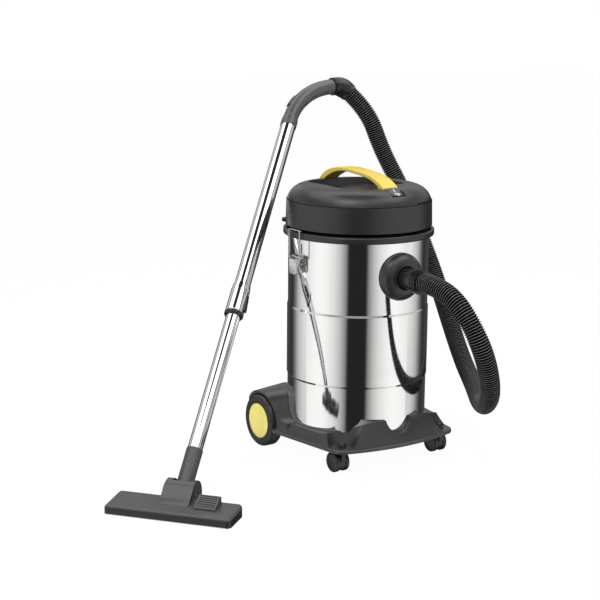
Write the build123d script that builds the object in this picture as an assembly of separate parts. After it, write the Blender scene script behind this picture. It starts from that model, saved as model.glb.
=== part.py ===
from build123d import *
import math
import os

# Sizes in millimetres, +Z up, the front of the vacuum towards -Y

# Fits shared by many pieces
running_gap = 0.06
moving_gap = 0.5
seat_gap = 0.05

# Drum
drum_radius = 174.0
drum_wall = 1.2
drum_height = 477.0
drum_corner = 9.0
swell_depth = 2.0
swell_low = 200.0
swell_high = 376.0
swell_slope = 2.5
bead_radius = 2.6
bead_offset = 1.2

# Inlet and hose
inlet_height = 470.0
inlet_flange_radius = 58.0
inlet_ring_radius = 40.0
inlet_reach = 24.0
inlet_spigot_radius = 33.5
gasket_thickness = 1.5
cuff_sleeve_radius = 26.0
cuff_sleeve_length = 40.0
cuff_collar_radius = 29.0
cuff_collar_length = 24.0
hose_radius = 24.0
hose_valley = 2.2
hose_bore_radius = 19.0
hose_ribs = 104

# Trolley
lip_low = 55.0
lip_height = 8.0
lip_radius = 3.5
lip_step = 2.0
tray_floor = 80.0
tray_roof = 59.5
shoulder_top = 118.0
apron_slope = 24.0
ledge_top = 87.0
scoop_radius = 36.0
nose_reach = 207.0
nose_corner_x = 178.0
nose_corner_y = 176.0
nose_corner_radius = 38.0
arm_reach = 214.0
arm_end_y = 60.0
tower_inner_x = 112.0
tower_reach = 168.0
guard_reach = 198.0
guard_top = 151.0
guard_edge = 140.5
guard_tail = 112.0
guard_start_y = 14.0
tower_end_y = 196.0
pocket_floor = 63.0
pocket_radius = 31.0
pocket_flare = 22.0
underside_wall = 5.0
hollow_radius = 150.0

# Rear wheels and axle
wheel_radius = 66.0
wheel_width = 38.0
wheel_outer_x = 209.0
wheel_axle_y = 135.5
wheel_tyre_round = 9.0
wheel_cap_radius = 44.3
wheel_cap_depth = 5.0
wheel_well_gap = 3.5
axle_radius = 5.0

# Casters
caster_x = 150.0
caster_y = -153.0
caster_trail = 16.0
caster_wheel_radius = 25.0
caster_wheel_width = 13.5
caster_web = 12.0
caster_stem_radius = 4.0
caster_axle_radius = 3.0
caster_nut_radius = 9.5
caster_nut_height = 13.0

# Head
filter_lip = 2.5
seal_thickness = 3.0
flange_clearance = 1.6
flange_wall = 7.1
flange_skirt = 10.0
flange_web = 6.2
groove_height = 7.0
groove_inset = 1.0
groove_rib_width = 1.6
band_overhang = 7.0
band_lean = 1.5
band_height = 62.6
band_wall = 3.2
head_floor = 3.8
head_throat_radius = 34.0
dome_step = 1.5
dome_rise = 39.0
dome_wall = 3.0
finger_half_width = 92.0
finger_front_y = -70.0
finger_back_y = 100.0
finger_depth = 19.3
finger_corner = 30.0
finger_draft = 16.0
handle_width = 44.0
handle_thickness = 9.5
handle_rise = 33.0
handle_edge = 2.5
vent_count = 12
gland_rise = 7.5
gland_radius = 6.0
gland_tip_radius = 4.5
gland_bore = 3.2
gland_shoulder = 6.0
gland_reach = 9.0

# Switch on the slope of the dome, its rise counted from the band
switch_y = -148.0
switch_rise = 30.2
switch_tilt = 30.0
switch_width = 40.0
switch_length = 36.0
switch_depth = 13.0
rocker_width = 31.0
rocker_length = 28.0

# Motor, float and filter inside
motor_mount_height = 4.5
motor_mount_radius = 66.0
fan_can_radius = 66.0
fan_can_height = 22.0
fan_can_wall = 3.0
motor_radius = 42.0
motor_height = 44.0
shaft_radius = 4.0
fan_radius = 57.0
fan_height = 11.0
cage_radius = 44.0
cage_height = 72.0
cage_wall = 2.0
float_radius = 40.0
float_height = 34.0
filter_ledge_radius = 150.0
filter_depth = 22.0
bag_depth = 70.0
bag_bottom_radius = 80.0
bag_thickness = 1.5

# Latches
latch_pivot_reach = 10.0
latch_pivot_z = 508.0
bail_pivot_out = 6.0
bail_pivot_drop = 3.0
bail_wire_radius = 1.75
bail_half_width = 22.0
bail_hook = 5.0
bail_lift = 2.75
lever_width = 32.0
lever_length = 41.0
lever_sheet = 1.5
latch_sheet = 1.6
latch_pin_radius = 1.5
ear_radius = 3.6
rivet_radius = 2.2

# Wand and nozzle
nozzle_place = (-663.4, -215.7)
nozzle_heading = -50.8
nozzle_length = 298.0
nozzle_depth = 87.0
nozzle_front_height = 21.0
nozzle_back_height = 28.0
nozzle_band_height = 17.0
nozzle_corner = 9.0
sole_thickness = 1.5
slot_depth = 14.0
slot_length = 236.0
pivot_back = 98.0
pivot_height = 32.0
hood_radius = 32.0
hood_half_width = 35.0
hood_wall = 3.0
hood_front = 38.0
neck_rise = 10.0
knuckle_radius = 27.0
pedal_left = 52.0
pedal_width = 50.0
pedal_front = 33.0
pedal_depth = 42.0
pedal_rise = 19.0
pedal_swing_room = 1.8
pedal_pin_radius = 2.5
brush_drop = 4.0
wand_lean = 45.3
neck_radius = 19.2
neck_length = 110.0
lower_tube_radius = 17.5
tube_wall = 1.0
lower_tube_shown = 365.0
lower_tube_plug = 40.0
lower_tube_overlap = 150.0
upper_tube_radius = 20.0
upper_tube_shown = 529.0
sleeve_length = 91.0
sleeve_radius = 23.2
sleeve_ring_length = 9.0
lock_length = 46.0
lock_width = 15.0
lock_height = 5.0
bush_length = 30.0

# Bent handle and swivel cuff
handle_radius = 20.0
handle_root_radius = 19.2
handle_bend = 213.0
handle_turn = 54.0
handle_spigot = 46.0
handle_bore = 15.5
slider_angle = 15.0
slider_length = 38.0
slider_width = 17.0
slider_height = 4.0
swivel_radius = 17.0
swivel_length = 24.0
cuff_run = 12.0
cuff_bend = 40.0
cuff_turn = 56.0
cuff_end = 8.0
cuff_radius = 25.5
cuff_neck_radius = 22.5
cuff_rib_height = 1.6

# Heights and places that follow from the sizes above
drum_top = tray_floor + drum_height
seal_low = drum_top + filter_lip
web_low = seal_low + seal_thickness
flange_top = web_low + flange_web
band_low = flange_top + groove_height
band_top = band_low + band_height
floor_top = band_low + head_floor
lip_top = lip_low + lip_height
bead_ring = drum_radius + bead_offset
flange_bore = bead_ring + bead_radius + flange_clearance
flange_radius = flange_bore + flange_wall
groove_radius = drum_radius - groove_inset
band_radius = drum_radius + band_overhang
dome_radius = band_radius - band_lean - dome_step
finger_floor = band_top + dome_rise - finger_depth
inlet_front = drum_radius + inlet_reach
cuff_shoulder = inlet_front + cuff_sleeve_length
cuff_mouth = cuff_shoulder + cuff_collar_length
axle_z = wheel_radius
wheel_inner_x = wheel_outer_x - wheel_width

ON_FLOOR = (Align.CENTER, Align.CENTER, Align.MIN)
inlet_frame = Plane(origin=(0, 0, inlet_height), x_dir=(1, 0, 0), z_dir=(0, -1, 0))
heading = math.radians(nozzle_heading)
along = Vector(math.cos(heading), math.sin(heading), 0)
back = Vector(-math.sin(heading), math.cos(heading), 0)
up = Vector(0, 0, 1)
lean = math.radians(wand_lean)
nozzle_frame = Plane(origin=(*nozzle_place, 0), x_dir=along, z_dir=up)
pivot = nozzle_frame.from_local_coords(Vector(0, pivot_back, pivot_height))
wand_axis = back * math.sin(lean) + up * math.cos(lean)
wand_frame = Plane(origin=pivot, x_dir=along, z_dir=wand_axis)
sleeve_start = neck_length + lower_tube_shown
upper_start = sleeve_start + sleeve_length
wand_length = upper_start + upper_tube_shown


def rounded_outline(points, rounds):
    """Closed outline through points, each corner rounded as far as its two sides allow."""
    radii = []
    corners = [Vector(point) for point in points]
    count = len(corners)
    for index, radius in enumerate(rounds):
        one = corners[index] - corners[index - 1]
        two = corners[(index + 1) % count] - corners[index]
        half = math.radians(one.get_angle(two)) / 2
        room = 0.45 * min(one.length, two.length) / max(math.tan(half), 0.001)
        radii.append(min(radius, room) if half > 0.02 else 0)
    return FilletPolyline(*corners, radius=radii, close=True)


def turned(corners, rounds=None):
    """Solid of revolution about Z from (radius, height) corners, some of them rounded."""
    points = [(radius, 0, height) for radius, height in corners]
    if rounds is None:
        outline = Polyline(*points, close=True)
    else:
        outline = rounded_outline(points, rounds)
    return revolve(make_face(outline), Axis.Z)


def disc(radius, low, high):
    """Upright cylinder between two heights."""
    return Pos(0, 0, low) * Cylinder(radius, high - low, align=ON_FLOOR)


def hoop(outer, inner, low, high):
    """Upright ring between two heights."""
    return disc(outer, low, high) - disc(inner, low, high)


def rod(start, end, radius):
    """Cylinder from one point to another."""
    run = Vector(end) - Vector(start)
    return Plane(origin=start, z_dir=run) * Cylinder(radius, run.length, align=ON_FLOOR)


def wire_through(points, radius):
    """Round wire through points, with a ball at each bend."""
    wire = rod(points[0], points[1], radius)
    for start, end in zip(points[1:], points[2:]):
        wire += Pos(start) * Sphere(radius) + rod(start, end, radius)
    return wire


def block(x, y, z):
    """Box from a low and a high value on each axis."""
    middle = [(low + high) / 2 for low, high in (x, y, z)]
    return Pos(*middle) * Box(x[1] - x[0], y[1] - y[0], z[1] - z[0])


def side_slab(corners, x_low, x_high, rounds=None):
    """Side outline of (y, z) corners, extruded along X."""
    if rounds is None:
        outline = Polyline(*corners, close=True)
    else:
        outline = rounded_outline(corners, rounds)
    plane = Plane(origin=(x_low, 0, 0), x_dir=(0, 1, 0), z_dir=(1, 0, 0))
    return plane * extrude(make_face(outline), x_high - x_low)


def after_run(frame, length):
    """Frame further along the Z of a frame."""
    return Plane(origin=frame.origin + frame.z_dir * length, x_dir=frame.x_dir, z_dir=frame.z_dir)


def after_bend(frame, radius, angle):
    """Frame at the end of an arc that leaves along Z and turns towards X."""
    turn = math.radians(angle)
    step = Vector(radius * (1 - math.cos(turn)), 0, radius * math.sin(turn))
    ahead = frame.z_dir * math.cos(turn) + frame.x_dir * math.sin(turn)
    side = frame.x_dir * math.cos(turn) - frame.z_dir * math.sin(turn)
    return Plane(origin=frame.from_local_coords(step), x_dir=side, z_dir=ahead)


def both_sides(shape):
    """A shape on +X together with its mirror on -X."""
    return shape + mirror(shape, about=Plane.YZ)


def mirrored_pair(name, shape):
    """Right and left nodes from a shape on +X."""
    return {name + "_right": shape, name + "_left": mirror(shape, about=Plane.YZ)}


# Places along the handle, for the pieces that meet there
bend_side = Vector(1, 0, 0) - wand_axis * wand_axis.X
handle_frame = Plane(origin=pivot + wand_axis * wand_length, x_dir=bend_side, z_dir=wand_axis)
swivel_frame = after_bend(handle_frame, handle_bend, handle_turn)
cuff_bend_frame = after_run(swivel_frame, cuff_run)
cuff_end_frame = after_bend(cuff_bend_frame, cuff_bend, cuff_turn)
hose_end_frame = after_run(cuff_end_frame, cuff_end)


def drum_skin(inset):
    """Solid inside the drum's outer surface, moved in by an inset."""
    radius = drum_radius - inset
    wide = radius + swell_depth
    corners = [
        (0, tray_floor + inset),
        (radius, tray_floor + inset),
        (radius, swell_low - swell_slope),
        (wide, swell_low + swell_slope),
        (wide, swell_high - swell_slope),
        (radius, swell_high + swell_slope),
        (radius, drum_top - bead_radius),
        (0, drum_top - bead_radius),
    ]
    return turned(corners, [0, drum_corner - inset, 0, 0, 0, 0, 0, 0])


def rivet_places():
    """Places of the latch rivets on +X, as (y, z)."""
    return [(0, latch_pivot_z + 19), (-9, latch_pivot_z - 20), (9, latch_pivot_z - 20)]


def screw_places():
    """Places of the screws between drum and trolley."""
    return [(x, y) for x in (-70, 70) for y in (-70, 70)]


def tank_pieces():
    """Drum with its inlet, cuff and filter."""
    drum = drum_skin(0) - drum_skin(drum_wall) - disc(drum_radius - drum_wall, drum_top - 8, drum_top)
    drum += Pos(0, 0, drum_top - bead_radius) * Torus(bead_ring, bead_radius)
    hole = inlet_frame * disc(inlet_spigot_radius + moving_gap, drum_radius - 40, drum_radius + 10)
    drum -= hole
    for y, z in rivet_places():
        drum -= rod((-200, y, z), (200, y, z), rivet_radius + seat_gap)
    for x, y in screw_places():
        drum -= rod((x, y, tray_floor - 5), (x, y, tray_floor + 5), 2.5 + seat_gap)

    wrap = drum_radius + gasket_thickness + seat_gap
    tube_bore = cuff_sleeve_radius + seat_gap
    inside = drum_radius - 14
    boss = turned(
        [
            (tube_bore, drum_radius - 25),
            (inlet_flange_radius, drum_radius - 25),
            (inlet_flange_radius, drum_radius + 5),
            (inlet_flange_radius - 4, drum_radius + 14),
            (inlet_ring_radius + 6, inlet_front - 3),
            (inlet_ring_radius, inlet_front),
            (cuff_sleeve_radius + 3.5, inlet_front),
            (tube_bore, inlet_front - 8),
        ],
        [0, 0, 4, 8, 5, 2, 0, 0],
    )
    spigot = hoop(inlet_spigot_radius, tube_bore, inside, drum_radius + 4)
    boss = inlet_frame * boss - disc(wrap, 200, 800) + inlet_frame * spigot
    ring = hoop(inlet_flange_radius - 1, inlet_spigot_radius + 0.8, drum_radius - 34, drum_radius + 16)
    gasket = inlet_frame * ring
    gasket &= hoop(drum_radius + gasket_thickness, drum_radius + seat_gap, 300, 600)

    deflector = hoop(inlet_spigot_radius, inlet_spigot_radius - 2, inside - 27, inside)
    deflector += disc(inlet_spigot_radius, inside - 29, inside - 27)
    mouth = Pos(0, -inlet_spigot_radius, inside - 17) * Box(90, 34, 20)
    deflector = inlet_frame * (deflector - mouth)

    collar = hoop(cuff_collar_radius, hose_bore_radius, cuff_shoulder, cuff_mouth)
    for rib in range(3):
        low = cuff_shoulder + 4 + rib * 6.5
        collar += hoop(cuff_collar_radius + 1.2, hose_bore_radius, low, low + 3)
    sleeve = hoop(cuff_sleeve_radius, hose_bore_radius, inside, cuff_shoulder)
    cuff = inlet_frame * (sleeve + collar)

    frame_low = drum_top - filter_depth
    inner = drum_radius - drum_wall
    frame = turned(
        [
            (filter_ledge_radius, frame_low),
            (inner - 2, frame_low),
            (inner - 2, drum_top),
            (bead_ring + 1, drum_top),
            (bead_ring + 1, seal_low),
            (inner - 5, seal_low),
            (inner - 5, frame_low + 3),
            (filter_ledge_radius, frame_low + 3),
        ]
    )
    rim = frame_low + 3
    throat = filter_ledge_radius - moving_gap
    low = rim - bag_depth
    bag = turned(
        [
            (0, low),
            (bag_bottom_radius, low),
            (throat, rim - 4),
            (throat, rim),
            (inner - 6, rim),
            (inner - 6, rim + bag_thickness),
            (throat - bag_thickness, rim + bag_thickness),
            (throat - bag_thickness, rim - 4),
            (bag_bottom_radius - bag_thickness, low + bag_thickness),
            (0, low + bag_thickness),
        ]
    )
    return {
        "drum": drum,
        "inlet_boss": boss,
        "inlet_gasket": gasket,
        "inlet_deflector": deflector,
        "tank_cuff": cuff,
        "filter_frame": frame,
        "filter_bag": bag,
    }


def hose_route():
    """Path of the hose from the tank cuff to the swivel cuff."""
    end = hose_end_frame.origin
    points = [
        Vector(0, -cuff_mouth, inlet_height),
        Vector(0, -cuff_mouth - 72, inlet_height),
        Vector(12, -406, 420),
        Vector(42, -442, 325),
        Vector(92, -410, 224),
        Vector(153, -320, 160),
        Vector(220, -222, 138),
        Vector(288, -120, 145),
        Vector(342, -12, 175),
        Vector(384, 88, 238),
        Vector(408, 178, 335),
        Vector(404, 250, 457),
        Vector(370, 299, 592),
        Vector(316, 334, 708),
        end + hose_end_frame.z_dir * 72,
        end,
    ]
    radii = []
    for before, here, after in zip(points, points[1:], points[2:]):
        one = here - before
        two = after - here
        half = math.radians(one.get_angle(two)) / 2
        radii.append(0.45 * min(one.length, two.length) / math.tan(half))
    print("hose radii", [round(radius) for radius in radii])
    return FilletPolyline(*points, radius=radii)


def hose_piece():
    """Ribbed hose with its bore: a ruled loft through four circles for each rib."""
    path = Wire(hose_route().edges())
    length = path.length
    valley = hose_radius - hose_valley
    steps = ((0.0, valley), (0.28, hose_radius), (0.62, hose_radius), (0.9, valley))
    places = [((rib + step) / hose_ribs, radius) for rib in range(hose_ribs) for step, radius in steps]
    places.append((1.0, valley))
    outer = []
    inner = []
    across = Vector(1, 0, 0)
    for share, radius in places:
        ahead = path % share
        across = (across - ahead * across.dot(ahead)).normalized()
        plane = Plane(origin=path @ share, x_dir=across, z_dir=ahead)
        outer.append(plane * Circle(radius))
        if radius == valley:
            inner.append(plane * Circle(hose_bore_radius))
    hose = loft(outer, ruled=True) - loft(inner, ruled=True)
    print("hose length", round(length), "volume per length", round(hose.volume / length))
    return {"hose": hose}


def bent_bore(frame, bend, turn, radius):
    """Round bore along an arc that leaves along the Z of a frame and turns towards its X."""
    centre = frame.from_local_coords(Vector(bend, 0, 0))
    return revolve(frame * Circle(radius), Axis(tuple(centre), tuple(frame.y_dir)), turn)


def swivel_cuff_piece():
    """Cuff that turns on the handle's end and bends down to the hose."""
    path_frames = [swivel_frame, cuff_bend_frame]
    for share in (0.25, 0.5, 0.75):
        path_frames.append(after_bend(cuff_bend_frame, cuff_bend, cuff_turn * share))
    path_frames += [cuff_end_frame, hose_end_frame]
    radii = [cuff_neck_radius, cuff_neck_radius + 1, cuff_radius, cuff_radius + 1, cuff_radius + 1]
    radii += [cuff_radius, cuff_radius]
    first = after_run(swivel_frame, moving_gap)
    path_frames[0] = first
    body = loft([frame * Circle(radius) for frame, radius in zip(path_frames, radii)])
    bore = bent_bore(cuff_bend_frame, cuff_bend, cuff_turn, hose_bore_radius)
    bore += swivel_frame * disc(swivel_radius + running_gap, -1, cuff_run)
    bore += cuff_end_frame * disc(hose_bore_radius, 0, cuff_end + 1)
    body -= bore
    for rib in range(4):
        low = 1 + rib * 3.6
        body += swivel_frame * hoop(cuff_neck_radius + cuff_rib_height, cuff_neck_radius - 2, low, low + 2)
    return {"swivel_cuff": body}


def trolley_plan(grow):
    """Plan of the trolley, grown by an amount."""
    left = (-nose_corner_x, -nose_corner_y)
    right = (nose_corner_x, -nose_corner_y)
    nose = ThreePointArc(left, (0, -nose_reach), right)
    rest = Polyline(
        right,
        (arm_reach, arm_end_y),
        (tower_reach, arm_end_y),
        (tower_reach, tower_end_y),
        (-tower_reach, tower_end_y),
        (-tower_reach, arm_end_y),
        (-arm_reach, arm_end_y),
        left,
    )
    plan = make_face([nose, rest])
    corners = plan.vertices().filter_by_position(Axis.Y, -nose_corner_y - 1, -nose_corner_y + 1)
    plan = fillet(corners, nose_corner_radius)
    rear = plan.vertices().filter_by_position(Axis.Y, tower_end_y - 1, tower_end_y + 1)
    plan = fillet(rear, 20)
    if grow:
        plan = offset(plan, grow, kind=Kind.INTERSECTION)
    return plan


def guard_side(x, heights):
    """Side face of a wheel guard at an X: it sweeps up from the ledge, over the wheel and down behind."""
    places = [wheel_axle_y + step for step in (-85.5, -53.5, -35.5, 0, 29.5)]
    start = (guard_start_y, ledge_top - 1)
    end = (tower_end_y, guard_tail)
    sweep = Spline(start, *zip(places, heights), end)
    rest = Polyline(end, (tower_end_y, lip_top - 2), (guard_start_y, lip_top - 2), start)
    plane = Plane(origin=(x, 0, 0), x_dir=(0, 1, 0), z_dir=(1, 0, 0))
    return plane * make_face([sweep, rest])


def trolley_piece():
    """Moulded trolley: lip, sloping apron, wheel guards, scoops and caster pockets."""
    plan = trolley_plan(0)
    lip = Pos(0, 0, lip_low) * extrude(plan, lip_height)
    lip = fillet(lip.faces().sort_by(Axis.Z)[-1].edges(), lip_radius)
    inset = trolley_plan(-lip_radius - lip_step)
    front = inset & Pos(0, -150) * Rectangle(600, 2 * (150 + arm_end_y - 4))
    apron = extrude(Pos(0, 0, lip_top) * front, shoulder_top - lip_top, taper=apron_slope)
    ledge = side_slab(
        [
            (-178, 300),
            (-178, shoulder_top + 2),
            (-104, ledge_top),
            (300, ledge_top),
            (300, 300),
        ],
        -300,
        300,
        [0, 20, 60, 0, 0],
    )
    apron -= ledge
    apron -= rod((0, -300, shoulder_top + 2), (0, 0, shoulder_top + 2), scoop_radius)

    inner = guard_side(tower_inner_x, [guard_top - drop for drop in (21, 2, 0, 0, 5)])
    outer = guard_side(guard_reach, [guard_edge - drop for drop in (47, 26, 10, 0, 3)])
    guards = both_sides(loft([inner, outer]))

    solid = lip + apron + guards
    deck_heights = (lip_top - 2, tray_floor + 6)
    solid += block((-tower_reach, tower_reach), (arm_end_y - 20, tower_end_y - 22), deck_heights)
    well = wheel_radius + wheel_well_gap
    for side in (-1, 1):
        inner_end = (side * (wheel_inner_x - wheel_well_gap), wheel_axle_y, axle_z)
        solid -= rod(inner_end, (side * 300, wheel_axle_y, axle_z), well)
        pocket = Pos(side * caster_x, caster_y, pocket_floor)
        rise = shoulder_top - pocket_floor + 4
        solid -= pocket * Cone(pocket_radius, pocket_radius + pocket_flare, rise, align=ON_FLOOR)
    solid -= disc(drum_radius + moving_gap, tray_floor, 300)

    hollow = Pos(0, 0, lip_low - 5) * extrude(trolley_plan(-underside_wall), tray_roof - lip_low + 5)
    hollow += disc(hollow_radius, lip_low - 5, tray_floor - 4)
    for turn in range(0, 180, 45):
        hollow -= Rot(0, 0, turn) * block((-300, 300), (-2, 2), (tray_roof + 1, tray_floor))
    for side in (-1, 1):
        hollow -= Pos(side * caster_x, caster_y) * disc(14, lip_low, tray_floor)
    solid -= hollow
    solid -= rod((-300, wheel_axle_y, axle_z), (300, wheel_axle_y, axle_z), axle_radius + seat_gap)
    for side in (-1, 1):
        solid -= Pos(side * caster_x, caster_y) * disc(caster_stem_radius + seat_gap, 0, 100)
    for x, y in screw_places():
        solid -= rod((x, y, lip_low), (x, y, tray_floor + 1), 2.5 + seat_gap)
        solid -= Pos(x, y) * disc(8, lip_low, tray_floor - 4)
    return {"trolley_base": solid}


def axle_pieces():
    """Rear axle, wheels, caps, clips and the screws of the trolley."""
    hub_face = wheel_outer_x - wheel_cap_depth
    axle = rod((-hub_face + 1, wheel_axle_y, axle_z), (hub_face - 1, wheel_axle_y, axle_z), axle_radius)
    wheel_frame = Plane(origin=(0, wheel_axle_y, axle_z), x_dir=(0, 1, 0), z_dir=(1, 0, 0))
    wheel = turned(
        [
            (axle_radius + running_gap, wheel_inner_x),
            (wheel_radius - 12, wheel_inner_x),
            (wheel_radius - 12, wheel_inner_x + 3),
            (wheel_radius, wheel_inner_x + 3),
            (wheel_radius, wheel_outer_x - 1),
            (wheel_cap_radius + 2, wheel_outer_x),
            (wheel_cap_radius + 0.4, hub_face),
            (axle_radius + 9, hub_face),
            (axle_radius + 9, hub_face - 6),
            (axle_radius + running_gap, hub_face - 6),
        ],
        [0, 0, 0, wheel_tyre_round, wheel_tyre_round, 2, 0, 0, 0, 0],
    )
    cap = turned(
        [
            (0, hub_face + 2.5),
            (axle_radius + 9, hub_face + 2.5),
            (axle_radius + 9, hub_face),
            (wheel_cap_radius, hub_face),
            (wheel_cap_radius, wheel_outer_x - 1.5),
            (wheel_cap_radius - 8, wheel_outer_x + 1),
            (0, wheel_outer_x + 1.5),
        ],
        [0, 0, 0, 0, 1, 4, 0],
    )
    clip = hoop(axle_radius + 4, axle_radius + seat_gap, hub_face - 5.5, hub_face - 4)
    pieces = {"rear_axle": axle, "axle_clips": both_sides(wheel_frame * clip)}
    pieces |= mirrored_pair("rear_wheel", wheel_frame * wheel)
    pieces |= mirrored_pair("wheel_cap", wheel_frame * cap)
    screws = None
    for x, y in screw_places():
        screw = disc(5, tray_floor - 7, tray_floor - 4)
        screw += disc(2.5, tray_floor - 4, tray_floor + drum_wall)
        screw += disc(5, tray_floor + drum_wall, tray_floor + drum_wall + 2.5)
        screws = Pos(x, y) * screw if screws is None else screws + Pos(x, y) * screw
    pieces["base_screws"] = screws
    return pieces


def caster_pieces():
    """Twin-wheel casters: hood, wheels and axle, with stems and domed nuts on the trolley."""
    place = Pos(caster_x, caster_y, 0)
    hub_top = lip_low - 0.2
    wheel_top = 2 * caster_wheel_radius
    centre = Pos(0, caster_trail, caster_wheel_radius) * Rot(0, 90, 0)
    hood = centre * Cylinder(caster_wheel_radius - 2, caster_web)
    hood += block((-caster_web / 2, caster_web / 2), (-9, 12), (caster_wheel_radius + 4, wheel_top))
    hood += disc(13, wheel_top + moving_gap, hub_top)
    hood += disc(caster_web / 2, wheel_top - 4, hub_top)
    hood -= disc(caster_stem_radius + running_gap, caster_wheel_radius + 5, hub_top + 1)
    hood -= centre * Cylinder(caster_axle_radius + running_gap, caster_web + 2)
    inner = caster_web / 2 + moving_gap
    profile = [
        (caster_axle_radius + seat_gap, inner),
        (caster_wheel_radius - 1.5, inner),
        (caster_wheel_radius, inner + 2),
        (caster_wheel_radius, inner + caster_wheel_width - 3),
        (caster_wheel_radius - 4, inner + caster_wheel_width - 0.5),
        (caster_wheel_radius - 6, inner + caster_wheel_width - 1.5),
        (10, inner + caster_wheel_width),
        (caster_axle_radius + seat_gap, inner + caster_wheel_width),
    ]
    wheel = turned(profile, [0, 0, 1, 2, 0.8, 0, 0, 0])
    wheels = centre * (wheel + mirror(wheel, about=Plane.XY))
    half = inner + caster_wheel_width
    axle = centre * Cylinder(caster_axle_radius, 2 * half - 1)
    nut_bore = caster_stem_radius + seat_gap
    nut_top = pocket_floor + caster_nut_height
    stem = disc(caster_stem_radius, caster_wheel_radius + 6, nut_top - 4)
    nut = turned(
        [
            (0, nut_top),
            (0, nut_top - 4),
            (nut_bore, nut_top - 4),
            (nut_bore, pocket_floor),
            (caster_nut_radius, pocket_floor),
            (caster_nut_radius - 1, nut_top - 6),
            (caster_nut_radius - 4, nut_top),
        ],
        [0, 0, 0, 0, 0, 3, 2],
    )
    pieces = {"caster_stems": both_sides(place * stem), "caster_nuts": both_sides(place * nut)}
    pieces |= mirrored_pair("caster_hood", place * hood)
    pieces |= mirrored_pair("caster_wheels", place * wheels)
    pieces |= mirrored_pair("caster_axle", place * axle)
    return pieces


def dome_skin(inset):
    """Solid under the dome's outer surface, moved in by an inset."""
    shares = ((0, 1.0), (0.5, 0.98), (0.7, 0.94), (0.82, 0.86), (0.91, 0.64), (0.965, 0.36), (1.0, 0.0))
    wide = dome_radius - inset
    tall = dome_rise - inset
    points = [(share * wide, 0, band_top + rise * tall) for share, rise in shares]
    top = Spline(*points, tangents=[(1, 0, 0), (0.3, 0, -1)])
    rest = Polyline(points[-1], (wide, 0, band_top - 1), (0, 0, band_top - 1), points[0])
    return revolve(make_face([top, rest]), Axis.Z)


def finger_pocket(grow):
    """Cutter for the finger pocket under the carry handle."""
    middle = (finger_front_y + finger_back_y) / 2
    length = finger_back_y - finger_front_y
    plan = RectangleRounded(2 * (finger_half_width + grow), length + 2 * grow, finger_corner)
    return Pos(0, middle, finger_floor - grow) * extrude(plan, 2 * dome_rise, taper=-finger_draft)


def switch_frame():
    """Frame on the dome's slope at the switch, Z out of the surface."""
    tilt = math.radians(switch_tilt)
    return Plane(
        origin=(0, switch_y, band_top + switch_rise),
        x_dir=(1, 0, 0),
        z_dir=(0, -math.sin(tilt), math.cos(tilt)),
    )


def head_pieces():
    """Housing ring with flange and groove, dome, carry handle and seal."""
    skirt_low = web_low - flange_skirt
    housing = turned(
        [
            (groove_radius - 5, web_low),
            (flange_bore, web_low),
            (flange_bore, skirt_low),
            (flange_radius, skirt_low),
            (flange_radius, flange_top),
            (groove_radius, flange_top),
            (groove_radius, band_low),
            (band_radius, band_low),
            (band_radius - band_lean, band_top),
            (band_radius - band_lean - band_wall, band_top),
            (band_radius - band_lean - band_wall, floor_top),
            (head_throat_radius, floor_top),
            (head_throat_radius, band_low),
            (groove_radius - 5, band_low),
        ],
        [0, 0, 1, 3.5, 4.5, 0, 0, 1.2, 1, 0, 0, 0, 0, 0],
    )
    for turn in range(15, 360, 30):
        if abs(turn % 180 - 90) > 20:
            thick = (-groove_rib_width / 2, groove_rib_width / 2)
            rib = block((groove_radius - 2, groove_radius + 6), thick, (flange_top - 1, band_low + 1))
            housing += Rot(0, 0, turn - 90) * rib

    pocket = finger_pocket(0)
    dome = dome_skin(0) - pocket - (dome_skin(dome_wall) - finger_pocket(dome_wall))
    dome -= disc(400, 0, band_top)
    frame = switch_frame()
    opening = Box(switch_width, switch_length, 60)
    dome -= frame * opening
    for slot in range(vent_count):
        turn = -72 + slot * 5
        vent = block((dome_radius - 14, dome_radius + 5), (-5, 5), (band_top + 1.2, band_top + 4.2))
        dome -= Rot(0, 0, turn) * vent

    top = band_top + dome_rise + handle_rise
    low = handle_thickness
    foot = band_top + dome_rise - dome_wall
    upper = Spline(
        (143, top - 36),
        (118, top - 16),
        (52, top),
        (-12, top - 1.5),
        (-76, top - 9),
        (-128, top - 32),
    )
    under = Spline(
        (-106, top - 33),
        (-72, top - 9 - low),
        (-12, top - 1.5 - low),
        (52, top - low),
        (104, top - 16 - low),
        (122, top - 36),
    )
    front_foot = Polyline(upper @ 1, (-128, foot - 6), (-106, foot - 6), under @ 0)
    back_foot = Polyline(under @ 1, (122, foot - 6), (143, foot - 6), upper @ 0)
    outline = make_face([upper, front_foot, under, back_foot])
    strap = Plane.YZ * extrude(outline, handle_width / 2, both=True)
    rounded = strap.edges().filter_by(GeomType.BSPLINE)
    strap = fillet(rounded, handle_edge)
    strap -= dome_skin(0) - pocket
    strap -= disc(400, 0, finger_floor)

    def gland_rod(start, end, radius):
        place = Pos(0, 0, band_low + gland_rise) * Rot(0, 0, 145)
        return place * rod((band_radius + start, 0, 0), (band_radius + end, 0, 0), radius)

    gland = gland_rod(-5, gland_shoulder, gland_radius)
    gland += gland_rod(gland_shoulder, gland_reach, gland_tip_radius)
    gland -= gland_rod(-8, gland_reach + 1, gland_bore)
    hole = gland_rod(-band_lean - band_wall - 2, 20, gland_radius + seat_gap)
    return {
        "head_housing": housing - hole,
        "head_dome": dome,
        "carry_handle": strap,
        "rim_seal": hoop(flange_bore - 2.4, groove_radius - 4, seal_low, web_low),
        "cord_gland": gland,
    }


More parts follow.
